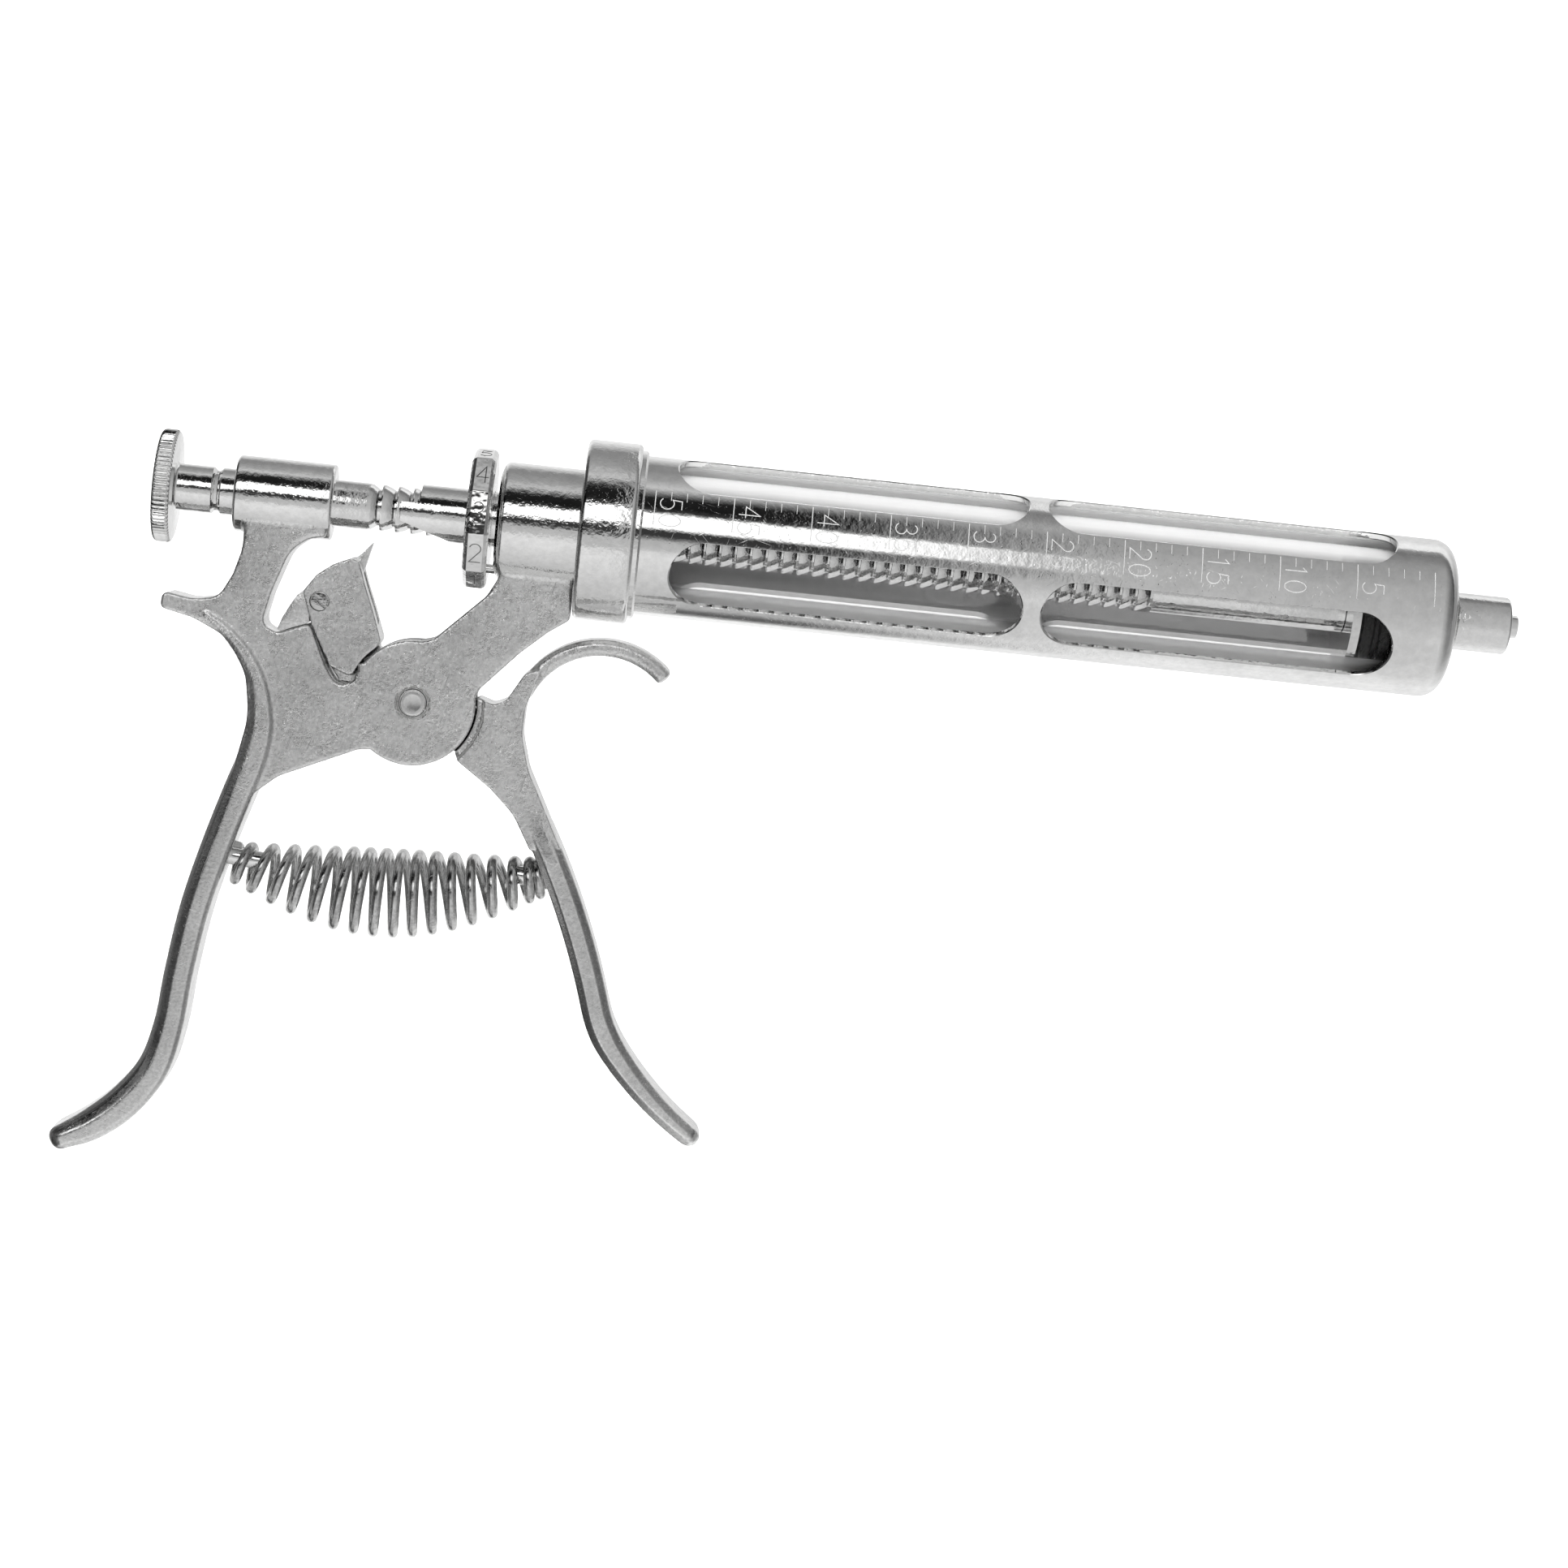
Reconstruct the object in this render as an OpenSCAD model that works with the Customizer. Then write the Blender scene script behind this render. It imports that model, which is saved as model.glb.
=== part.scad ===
// Pistol-grip revolver (repeating) syringe, 50 ml.
// Millimetres. +X runs along the barrel to the needle, +Z is up, Y is the thickness.
// The origin is on the barrel axis, at the front face of the needle lock collar.

/* [Barrel] */
// outside diameter of the metal sleeve
sleeve_d = 27.2; // [24:0.1:32]
// wall of the metal sleeve
sleeve_wall = 1.0; // [0.8:0.1:2]
// outside diameter of the glass
glass_d = 25.0; // [22:0.1:29]
// bore of the glass, which sets the millilitres per millimetre
glass_bore = 22.0; // [18:0.1:25]
// how far the rubber front edge stands from the zero mark at rest
rest_gap = 4.5; // [1:0.1:30]

/* [Windows] */
// width of one window across the sleeve
window_w = 11.9; // [6:0.1:14]
// length of one window along the sleeve
window_l = 59.8; // [30:0.1:62]
// turn of the first row of windows from the near side, upward
window_turn = -26; // [-45:1:45]

/* [Rod] */
// diameter of the piston rod
rod_d = 8.0; // [6:0.1:9]
// pitch of the rack teeth, one millilitre each
tooth_pitch = 2.65; // [2:0.01:4]
// number of rack teeth
tooth_count = 50; // [20:1:55]
// depth of a rack tooth
tooth_depth = 0.9; // [0.4:0.1:1.2]
// diameter of the rear knob
knob_d = 19.2; // [14:0.1:24]
// number of ridges on the knob
knob_ridges = 72; // [24:1:90]

/* [Frame] */
// thickness of the frame and of the trigger lever
body_t = 10.0; // [8:0.1:14]
// width of the slot between the two cheeks
slot_t = 4.6; // [3:0.1:6]
// diameter of the rear guide boss
boss_d = 13.0; // [11:0.1:16]
// diameter of the head behind the barrel
head_d = 20.2; // [18:0.1:24]
// diameter of the collar around the rear of the sleeve
collar_d = 30.8; // [29:0.1:34]
// width of the handles seen from the side
handle_w = 5.4; // [4:0.1:8]
// thickness of the handles seen from the front
handle_t = 11.0; // [9:0.1:14]

/* [Dose wheel] */
// corner to corner size of the ten-sided wheel
wheel_d = 23.9; // [20:0.1:26]
// thickness of the wheel
wheel_t = 4.1; // [3:0.1:6]
// outside diameter of the guide tube that the wheel turns on
tube_d = 9.5; // [9:0.1:11]

/* [Pivot] */
// diameter of the pivot pin
pivot_d = 4.6; // [3:0.1:6]
// radius of the two cheeks around the pivot
cheek_r = 10.7; // [9:0.1:13]

/* [Hidden] */
$fn = 64;
e = 0.05;
pivot_x = -185.7;
pivot_z = -32.3;
screw_x = -203.0;
screw_z = -16.7;
rod_r = rod_d / 2;
tube_r = tube_d / 2;
bore_r = rod_r + 0.06;
sleeve_r = sleeve_d / 2;
sleeve_ri = sleeve_r - sleeve_wall;
glass_r = glass_d / 2;
piston_r = glass_bore / 2 - 0.05;
zero_x = -15.6;
front_x = zero_x - rest_gap;
wheel_x = -179.5;
head_x = -174.5;
collar_x = -160.35;
collar_front_x = -150.95;
glass_rear_x = -157.2;

// A solid ring along X from xa to xb.
module ring_x(xa, xb, r_out, r_in = 0) {
  translate([xa, 0, 0])
    rotate([0, 90, 0])
      difference() {
        cylinder(h = xb - xa, r = r_out);
        if (r_in > 0)
          translate([0, 0, -1])
            cylinder(h = xb - xa + 2, r = r_in);
      }
}

// Turns a profile of [x, radius] points about the X axis.
module turned_x(points) {
  rotate([0, 90, 0])
    rotate_extrude()
      polygon([for (p = points) [p[1], p[0]]]);
}

// A side-view shape in X and Z, given a thickness in Y about the middle plane.
module plate(t) {
  rotate([90, 0, 0])
    translate([0, 0, -t / 2])
      linear_extrude(height = t)
        children();
}

// A round hole or pin along Y.
module across_y(x, z, d, l) {
  translate([x, 0, z])
    rotate([90, 0, 0])
      cylinder(h = l, d = d, center = true);
}

// A rectangle with cut corners, for the section of a handle.
module bevelled(w, t, c) {
  polygon([
    [-w / 2 + c, -t / 2], [w / 2 - c, -t / 2], [w / 2, -t / 2 + c], [w / 2, t / 2 - c],
    [w / 2 - c, t / 2], [-w / 2 + c, t / 2], [-w / 2, t / 2 - c], [-w / 2, -t / 2 + c]
  ]);
}

// A chain of tangent arcs in the side view. Each arc is [radius, degrees];
// a positive radius turns left and a negative one turns right.
module arc_chain(p, heading, arcs, w, t, c, i = 0) {
  if (i < len(arcs)) {
    r = abs(arcs[i][0]);
    s = sign(arcs[i][0]);
    a = arcs[i][1];
    centre = [p[0] - s * r * sin(heading), p[1] + s * r * cos(heading)];
    from = heading - 90 * s;
    to = from + s * a;
    translate([centre[0], centre[1], 0])
      rotate([0, 0, min(from, to)])
        rotate_extrude(angle = a)
          translate([r, 0])
            bevelled(w, t, c);
    arc_chain([centre[0] + r * cos(to), centre[1] + r * sin(to)], heading + s * a, arcs, w, t, c, i + 1);
  }
}

// The rear handle, from inside the web down to its curled tip.
module rear_handle() {
  rotate([90, 0, 0])
    arc_chain([-210.9, -33], -88.4, [[-43.7, 20.6], [162.7, 15.1], [-24.7, 23], [-27.3, 44]],
      handle_w, handle_t, 1.6);
}

// The web with its two cheeks, in the side view.
module web_outline() {
  difference() {
    union() {
      polygon([
        [-216.6, -5], [-216.6, -9], [-217.7, -12.7], [-218.9, -16], [-220.2, -17.6], [-222.6, -18.4],
        [-225.4, -18.2], [-228.2, -17.7], [-229.5, -18.6], [-229.5, -20.3], [-227.8, -21], [-225, -21.6],
        [-222.2, -22.4], [-219.4, -24], [-217.6, -25.4], [-216.1, -27.4], [-214.6, -29.8], [-213.7, -33],
        [-213.5, -37], [-213.8, -41], [-214.6, -45], [-215.8, -49], [-213, -53], [-211.4, -51.4],
        [-210, -49.6], [-208.2, -48], [-204.8, -46.2], [-199.5, -43.7], [-194.2, -41.3], [-192.9, -40.8],
        [-190, -38], [-190, -26], [-195.3, -26.6], [-195.6, -29], [-197.5, -30.1], [-199.6, -29.4],
        [-200.9, -27.8], [-204.6, -20.9], [-207.4, -21.6], [-209.8, -22.5], [-211.2, -21.9], [-211.7, -19.5],
        [-210.9, -15.5], [-209.4, -11.2], [-208.3, -8], [-206.8, -6.3], [-206.8, -5]
      ]);
      translate([pivot_x, pivot_z])
        circle(r = cheek_r);
      polygon([
        [-184.5, -30], [-184.5, -21.7], [-182.5, -20.1], [-179.9, -17.8], [-177.4, -15.3], [-174.9, -12.7],
        [-173.6, -11.2], [-172.8, -8], [collar_x, -8], [collar_x, -15.1], [-163.3, -17.7], [-168.4, -22.5],
        [-174.7, -28.9], [-176, -32]
      ]);
    }
    translate([-197.5, -27.2])
      circle(r = 2.9);
  }
}

module frame() {
  color([0.75, 0.75, 0.76])
    difference() {
      union() {
        plate(body_t)
          web_outline();
        rear_handle();
        ring_x(-219.1, -202.4, boss_d / 2);
        turned_x([[head_x, 0], [head_x, head_d / 2 - 2], [head_x + 0.6, head_d / 2 - 0.6],
          [head_x + 2, head_d / 2], [collar_x, head_d / 2], [collar_x, collar_d / 2 - 0.8],
          [collar_x + 0.8, collar_d / 2], [collar_front_x - 0.8, collar_d / 2],
          [collar_front_x, collar_d / 2 - 0.8], [collar_front_x, 0]]);
      }
      // bores on the barrel axis
      ring_x(-225, -200, bore_r);
      ring_x(head_x - 1, -159.9, tube_r + 0.03);
      ring_x(-160, -158, bore_r + 0.1);
      ring_x(-158.2, collar_front_x + 1, sleeve_r + e);
      // slot for the tongue of the trigger, and its way up beside the notch
      translate([pivot_x, 0, pivot_z])
        rotate([90, 0, 0])
          cylinder(h = slot_t, r = cheek_r + 0.8, center = true);
      plate(slot_t)
        polygon([[-190, -34], [-200.5, -31.4], [-205.6, -20], [-200, -14], [-184, -18], [-180, -28]]);
      // pivot bore with its counterbores, and the bore for the detent pin
      across_y(pivot_x, pivot_z, pivot_d + 0.04, body_t + 2);
      for (side = [-1, 1])
        translate([pivot_x, side * body_t / 2, pivot_z])
          rotate([90, 0, 0])
            cylinder(h = 0.8, r = 3.1, center = true);
      translate([head_x - 1, 0, -8.4])
        rotate([0, 90, 0])
          cylinder(h = 8, r = 0.84);
      // blind hole for the rear spring stud
      translate([-214.6, 0, -61.9])
        rotate([0, 95, 0])
          translate([0, 0, -2])
            cylinder(h = 8, r = 1.62);
    }
}

module lock_ring() {
  color([0.8, 0.8, 0.81])
    turned_x([[collar_front_x + 0.02, sleeve_r + e], [collar_front_x + 0.02, 14.4],
      [collar_front_x + 0.7, 14.4], [collar_front_x + 1.05, 14.0], [collar_front_x + 1.05, sleeve_r + e]]);
}

// One window, cut radially through the sleeve wall.
module window(x, turn) {
  rotate([turn, 0, 0])
    translate([x, 0, 0])
      rotate([90, 0, 0])
        linear_extrude(height = sleeve_r + 2)
          union() {
            translate([window_w / 2, 0])
              circle(d = window_w);
            translate([window_l - window_w / 2, 0])
              circle(d = window_w);
            translate([window_w / 2, -window_w / 2])
              square([window_l - window_w, window_w]);
          }
}

module barrel_sleeve() {
  color([0.86, 0.86, 0.87])
    difference() {
      turned_x([[-158, sleeve_ri], [-158, sleeve_r], [-14.2, sleeve_r], [-13.1, sleeve_r - 0.2],
        [-12, sleeve_r - 0.8], [-11.2, sleeve_r - 1.8], [-10.8, sleeve_r - 3.2], [-10.75, sleeve_r - 4],
        [-10.75, 4.02], [-14.35, 4.02], [-14.35, sleeve_ri]]);
      for (row = [0:3])
        for (start = [-144.6, -81.5])
          window(start, -(window_turn + 90 * row));
    }
}

module glass_cylinder() {
  color([0.8, 0.9, 0.92, 0.4])
    ring_x(glass_rear_x, zero_x, glass_r, glass_bore / 2);
}

module rear_gasket() {
  color([0.1, 0.1, 0.1])
    ring_x(-158.2, glass_rear_x, glass_r, glass_bore / 2 - 0.5);
}

module front_gasket() {
  color([0.1, 0.1, 0.1])
    ring_x(zero_x, -14.35, glass_r, 4.5);
}

module needle_collar() {
  color([0.86, 0.86, 0.87])
    difference() {
      turned_x([[-14.35, 0], [-14.35, 4.0], [-10.75, 4.0], [-10.75, 4.4], [-9.3, 4.4], [-9.2, 4.5],
        [-8.7, 4.93], [-0.5, 4.93], [0, 4.5], [0, 0]]);
      ring_x(-6.5, 1, 3.9);
      ring_x(-15, 0, 1.5);
    }
}

module needle_cone() {
  color([0.86, 0.86, 0.87])
    turned_x([[-14.3, 0.9], [-14.3, 1.48], [-6.48, 1.48], [-6.48, 2.2], [1.7, 1.95], [1.7, 0.9]]);
}

module guide_tube() {
  color([0.8, 0.8, 0.81])
    difference() {
      ring_x(-190.85, -160, tube_r, bore_r);
      // the top is cut back and the underside is open on a slant, so that the spike reaches the rack
      translate([-192, -6, 1.6])
        cube([4.3, 12, 5]);
      plate(12)
        polygon([[-192, -1.3], [-181.5, -4.75], [-181.5, -6], [-192, -6]]);
      // groove for the ring that keeps the wheel on
      ring_x(-179.3, -178.7, tube_r + 1, tube_r - 0.3);
    }
}

module wheel_ring() {
  color([0.5, 0.5, 0.52])
    difference() {
      ring_x(-179.25, -178.75, 5.7, tube_r - 0.27);
      translate([-180, -1, 3])
        cube([2, 2, 5]);
    }
}

module detent_pin() {
  color([0.7, 0.7, 0.72])
    translate([0, 0, -8.4])
      turned_x([[-175.9, 0], [-175.9, 0.5], [-175.6, 0.8], [-171.5, 0.8], [-171.5, 0]]);
}

module detent_spring() {
  color([0.4, 0.4, 0.42])
    translate([0, 0, -8.4])
      rotate([0, 90, 0])
        rotate_extrude()
          polygon(concat(
            [for (k = [0:8]) [k % 2 == 0 ? 0.78 : 0.6, -171.45 + k * 0.45]],
            [for (k = [8:-1:0]) [k % 2 == 0 ? 0.58 : 0.4, -171.45 + k * 0.45]]));
}

module pivot_pin() {
  color([0.8, 0.8, 0.81])
    across_y(pivot_x, pivot_z, pivot_d, body_t - 0.2);
}

module rear_stud() {
  color([0.8, 0.8, 0.81])
    translate([-214.6, 0, -61.9])
      rotate([0, 95, 0])
        translate([0, 0, -1.5])
          cylinder(h = 7.6, r = 1.6);
}

// The trigger lever in the side view: body below the pivot, without hook and grip.
module trigger_body() {
  polygon([
    [-176.9, -41.6], [-179, -36], [-179, -31], [-172.8, -31.3], [-170.6, -30.3], [-168.9, -27.7],
    [-167.4, -25.6], [-165.3, -27.4], [-166, -29.3], [-166.5, -32.5], [-166.6, -35.8], [-166.2, -38.6],
    [-165.2, -41.3], [-163.7, -44.2], [-160.6, -50.2], [-158.6, -54], [-163.6, -54.6], [-165.2, -51.7],
    [-167.3, -49], [-169.6, -46.6], [-173.2, -43.9]
  ]);
}

// The full-thickness block above the pivot that carries the pawl.
module carrier_outline() {
  difference() {
    polygon([
      [-205.9, -15.1], [-203.9, -12.1], [-201.3, -10.2], [-198, -8.8], [-197, -9.3], [-195.5, -13.3],
      [-193.8, -17.4], [-192.0, -22.2], [-191, -24], [-194.6, -30.2], [-197.2, -28.3], [-200.1, -27.3],
      [-203.9, -20.4]
    ]);
    translate([pivot_x, pivot_z])
      circle(r = cheek_r + 0.5);
  }
}

module trigger() {
  color([0.72, 0.72, 0.73])
    difference() {
      union() {
        difference() {
          plate(body_t)
            trigger_body();
          across_y(pivot_x, pivot_z, 2 * cheek_r + 3, body_t + 2);
        }
        plate(body_t)
          carrier_outline();
        // the tongue in the slot joins the body and the block
        plate(4.0)
          union() {
            translate([pivot_x, pivot_z])
              circle(r = cheek_r - 0.3);
            polygon([[-173.0, -32.4], [-186, -32.4], [-186, -36], [-178.2, -40.0], [-173, -39.5]]);
            polygon([[-186, -29], [-193, -22.8], [-196.4, -24], [-197.4, -27.2], [-192, -34]]);
          }
        rotate([90, 0, 0])
          arc_chain([-167, -28.7], 68.3, [[-14.4, 111.7]], 2.9, 9.4, 0.7);
        rotate([90, 0, 0])
          arc_chain([-162.15, -52], -60.4, [[-143.2, 12.8], [22.4, 20.95], [60.3, 18.5]],
            5.0, handle_t, 1.4);
      }
      across_y(pivot_x, pivot_z, pivot_d + 0.08, body_t + 2);
      // slot for the pawl, and the hole for its screw
      plate(3.2)
        polygon([
          [-208, -22], [-208, -6], [-190, -6], [-191.5, -18.4], [-196, -22.2], [-200.5, -22.2], [-203.5, -23]
        ]);
      across_y(screw_x, screw_z, 3.34, body_t + 2);
      // blind hole for the front spring stud
      translate([-161.4, 0, -60.6])
        rotate([0, 95, 0])
          translate([0, 0, -4])
            cylinder(h = 6.2, r = 1.62);
    }
}

module front_stud() {
  color([0.8, 0.8, 0.81])
    translate([-161.4, 0, -60.6])
      rotate([0, 95, 0])
        translate([0, 0, -5])
          cylinder(h = 7, r = 1.6);
}

module pawl_screw() {
  color([0.8, 0.8, 0.81])
    difference() {
      across_y(screw_x, screw_z, 3.3, body_t - 0.1);
      translate([screw_x, -body_t / 2, screw_z])
        rotate([0, 45, 0])
          cube([5, 1.2, 0.7], center = true);
    }
}

module pawl() {
  color([0.74, 0.74, 0.75])
    difference() {
      union() {
        // blade in the slot, with the spike
        plate(2.6)
          union() {
            polygon([
              [-206.4, -16.5], [-204.2, -13.2], [-201.4, -11], [-198.4, -9.4], [-196.6, -7.8], [-195.1, -5.9],
              [-196.3, -12.0], [-198.5, -17], [-201, -19.4], [-205, -20.6]
            ]);
            translate([screw_x, screw_z])
              circle(r = 3);
          }
        // thick tail that rests on the frame when the trigger is released
        plate(8.6)
          polygon([
            [-206.3, -15.4], [-207.6, -17.3], [-208.8, -19.8], [-209.5, -21.8], [-208.9, -21.8],
            [-207.2, -21.15], [-204.5, -20.5]
          ]);
      }
      across_y(screw_x, screw_z, 3.36, 12);
    }
}

module pawl_spring() {
  color([0.4, 0.4, 0.42])
    plate(1.6)
      polygon([[-199.6, -22.1], [-198.9, -22.1], [-198.2, -20.6], [-199.2, -18.9], [-199.7, -19.2], [-199.1, -20.6]]);
}

// Barrel-shaped compression spring between the studs, as a folded skin.
module main_spring() {
  color([0.45, 0.45, 0.47])
    translate([-213.2, 0, -62.3])
      rotate([0, 90 - 2.2, 0])
        rotate_extrude()
          polygon(concat(
            [for (k = [0:32]) [2.6 + 4.3 * sin(k * 180 / 32) + (k % 2 == 0 ? 1.1 : 0.4), 0.3 + k * 1.57]],
            [for (k = [32:-1:0]) [1.35 + 4.3 * sin(k * 180 / 32) + (k % 2 == 0 ? 1.1 : 0.4), 0.3 + k * 1.57]]));
}

module dose_wheel() {
  color([0.78, 0.78, 0.79])
    difference() {
      translate([wheel_x, 0, 0])
        rotate([6, 0, 0])
          rotate([0, 90, 0])
            intersection() {
              rotate([0, 0, 18])
                cylinder(h = wheel_t, d = wheel_d, $fn = 10);
              rotate_extrude()
                polygon([[0, 0], [11.3, 0], [wheel_d / 2, 0.6], [wheel_d / 2, wheel_t - 0.6],
                  [11.3, wheel_t], [0, wheel_t]]);
            }
      ring_x(wheel_x - 1, wheel_x + wheel_t + 1, tube_r + 0.06);
      // recess for the retaining ring, and the groove that the detent pin runs in
      ring_x(wheel_x - 1, -178.6, 6.1);
      ring_x(wheel_x + wheel_t - 0.9, wheel_x + wheel_t + 1, 9.5, 7.3);
    }
}

module piston_rod() {
  color([0.82, 0.82, 0.83])
    difference() {
      turned_x(concat(
        [[-222.1, 0], [-222.1, 3.5], [-221.6, rod_r], [-195.8, rod_r], [-194.7, rod_r - tooth_depth]],
        [for (k = [0:tooth_count - 1]) for (q = [0, 1, 2])
          [-194.4 + k * tooth_pitch + (q == 0 ? 0 : q == 1 ? 0.35 : tooth_pitch - 0.02),
           q == 2 ? rod_r - tooth_depth : rod_r]],
        [[-61.4, rod_r], [-28.55, rod_r], [-28.55, 2.5], [-20.6, 2.5], [-20.6, 0]]));
      ring_x(-223, -214, 2.22);
    }
}

module rod_knob() {
  color([0.82, 0.82, 0.83])
    union() {
      translate([-232.4, 0, 0])
        rotate([0, 90, 0])
          linear_extrude(height = 3.05)
            polygon([for (k = [0:2 * knob_ridges - 1])
              [cos(k * 180 / knob_ridges), sin(k * 180 / knob_ridges)] * (knob_d / 2 - (k % 2) * 0.25)]);
      turned_x([[-230, 0], [-230, rod_r], [-223.1, rod_r], [-222.6, 3.5], [-222.15, 3.5],
        [-222.15, 2.2], [-214.5, 2.2], [-214.5, 0]]);
    }
}

module piston_rear_plate() {
  color([0.7, 0.7, 0.72])
    ring_x(-28.5, -27.0, piston_r - 0.3, 2.52);
}

// A rubber washer whose lip is a little wider than its root.
module seal(xa, xb) {
  color([0.08, 0.08, 0.08])
    turned_x([[xa, 2.52], [xa, piston_r - 0.3], [xa + 0.4, piston_r], [xb - 0.4, piston_r],
      [xb, piston_r - 0.3], [xb, 2.52]]);
}

module piston_rear_seal() {
  seal(-27.0, -24.5);
}

module piston_spacer() {
  color([0.7, 0.7, 0.72])
    ring_x(-24.5, -23.8, piston_r - 0.6, 2.52);
}

module piston_front_seal() {
  seal(-23.8, front_x - 1.2);
}

module piston_front_plate() {
  color([0.7, 0.7, 0.72])
    difference() {
      ring_x(front_x - 1.2, front_x, piston_r - 0.6, 2.52);
      ring_x(-20.6, front_x + 1, 4.6);
    }
}

module piston_nut() {
  color([0.8, 0.8, 0.81])
    ring_x(-20.58, front_x - 0.02, 4.5);
}

frame();
lock_ring();
barrel_sleeve();
glass_cylinder();
rear_gasket();
front_gasket();
needle_collar();
needle_cone();
guide_tube();
wheel_ring();
detent_pin();
detent_spring();
pivot_pin();
rear_stud();
trigger();
front_stud();
pawl_screw();
pawl();
pawl_spring();
main_spring();
dose_wheel();
piston_rod();
rod_knob();
piston_rear_plate();
piston_rear_seal();
piston_spacer();
piston_front_seal();
piston_front_plate();
piston_nut();
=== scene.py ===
import math

import bmesh
import bpy
import numpy as np
from mathutils import Matrix, Vector


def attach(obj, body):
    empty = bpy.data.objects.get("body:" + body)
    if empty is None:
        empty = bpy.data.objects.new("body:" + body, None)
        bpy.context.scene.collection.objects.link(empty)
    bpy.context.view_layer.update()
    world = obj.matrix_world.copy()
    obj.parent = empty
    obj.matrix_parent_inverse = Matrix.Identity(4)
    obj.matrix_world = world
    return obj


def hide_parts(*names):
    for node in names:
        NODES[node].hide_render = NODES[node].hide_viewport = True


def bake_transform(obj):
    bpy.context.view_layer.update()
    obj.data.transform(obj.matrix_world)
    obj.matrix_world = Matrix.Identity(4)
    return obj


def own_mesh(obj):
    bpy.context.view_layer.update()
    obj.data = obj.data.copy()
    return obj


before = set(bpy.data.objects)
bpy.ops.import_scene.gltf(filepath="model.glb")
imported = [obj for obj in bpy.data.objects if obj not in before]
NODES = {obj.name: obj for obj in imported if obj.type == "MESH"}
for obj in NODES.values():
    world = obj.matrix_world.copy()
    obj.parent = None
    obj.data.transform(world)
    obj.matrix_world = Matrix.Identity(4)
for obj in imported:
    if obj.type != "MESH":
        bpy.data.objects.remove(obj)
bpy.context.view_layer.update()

scene = bpy.context.scene
MM = 0.001

# The side view is X and Z, and Y is the thickness.

# ---------------------------------------------------------------- measures, in millimetres

PX, PZ = -185.7, -32.3  # trigger pivot
SX, SZ = -203.0, -16.7  # pawl screw
CHEEK = 10.7  # radius of the round cheeks about the pivot
BODY_T = 10.0  # thickness of web, trigger body and pawl block
SLOT_T = 4.6  # slot of the frame
TONGUE_T = 4.0  # tongue of the trigger, in that slot
THROUGH = 14.0  # length of a cutter that passes right through
SLEEVE_R = 13.6  # outside of the sleeve
SEAT_R = 12.6  # inside of the sleeve
ROD_R = 4.0
ROOT_R = 3.14  # bottom of the rack teeth
NOSE_R = 4.02  # hole in the nose of the sleeve
ML = 2.65  # length of the barrel that holds one millilitre, which is also the pitch of the rack
FULL_ML = 50
WHEEL_X, WHEEL_T = -179.5, 4.1
WHEEL_R = 11.95  # to the corners of the ten sides
WHEEL_BORE = 4.84
FLAT_R = WHEEL_R * math.cos(math.radians(18))  # to the middle of a side
CORNERS = [(-84 + 36 * k) for k in range(10)]
RIDGES = 72  # of the knurled knob

# ---------------------------------------------------------------- small tools


def rad(a):
    return math.radians(a)


def new_object(name, verts, faces):
    mesh = bpy.data.meshes.new(name)
    mesh.from_pydata([tuple(v) for v in verts], [], [tuple(f) for f in faces])
    mesh.validate()
    mesh.update()
    ob = bpy.data.objects.new(name, mesh)
    scene.collection.objects.link(ob)
    return ob


def drop(ob):
    bpy.data.objects.remove(ob, do_unlink=True)


def fix_normals(ob, merge=True):
    """Turns the faces outward, and with merge joins the points that coincide."""
    bm = bmesh.new()
    bm.from_mesh(ob.data)
    if merge:
        bmesh.ops.remove_doubles(bm, verts=bm.verts, dist=1e-4)
    bmesh.ops.recalc_face_normals(bm, faces=bm.faces)
    bm.to_mesh(ob.data)
    bm.free()


def apply_modifiers(ob):
    bpy.context.view_layer.update()
    dg = bpy.context.evaluated_depsgraph_get()
    mesh = bpy.data.meshes.new_from_object(ob.evaluated_get(dg))
    ob.modifiers.clear()
    ob.data = mesh
    return ob


def boolean(ob, cutter, op="DIFFERENCE"):
    """Cuts ob with another object, which is used up."""
    m = ob.modifiers.new("cut", "BOOLEAN")
    m.operation = op
    m.solver = "EXACT"
    m.object = cutter
    apply_modifiers(ob)
    drop(cutter)
    return ob


def remesh(ob, voxel, rounds, most=180000):
    """Merges all shells into one skin with small fillets, of at most that many triangles."""
    m = ob.modifiers.new("r", "REMESH")
    m.mode = "VOXEL"
    m.voxel_size = voxel
    m.adaptivity = 0.0
    s = ob.modifiers.new("s", "SMOOTH")
    s.factor = 0.5
    s.iterations = rounds
    apply_modifiers(ob)
    tris = sum(len(p.vertices) - 2 for p in ob.data.polygons)
    if tris > most:
        d = ob.modifiers.new("d", "DECIMATE")
        d.ratio = most / tris
        apply_modifiers(ob)
    return ob


def soften(ob, where, rounds):
    """Smooths only the part of a mesh that where() picks, for the fillets of the casting."""
    vg = ob.vertex_groups.new(name="soft")
    vg.add([v.index for v in ob.data.vertices if where(v.co)], 1.0, "REPLACE")
    s = ob.modifiers.new("s", "SMOOTH")
    s.factor = 0.5
    s.iterations = rounds
    s.vertex_group = "soft"
    apply_modifiers(ob)
    ob.vertex_groups.clear()
    return ob


def shade(ob, angle=None):
    """Smooth shading. With an angle, edges steeper than that stay sharp."""
    me = ob.data
    me.polygons.foreach_set("use_smooth", [True] * len(me.polygons))
    if angle is not None:
        bm = bmesh.new()
        bm.from_mesh(me)
        lim = rad(angle)
        for e in bm.edges:
            if len(e.link_faces) == 2:
                e.smooth = e.calc_face_angle(0.0) < lim
        bm.to_mesh(me)
        bm.free()
    me.update()
    return ob


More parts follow.
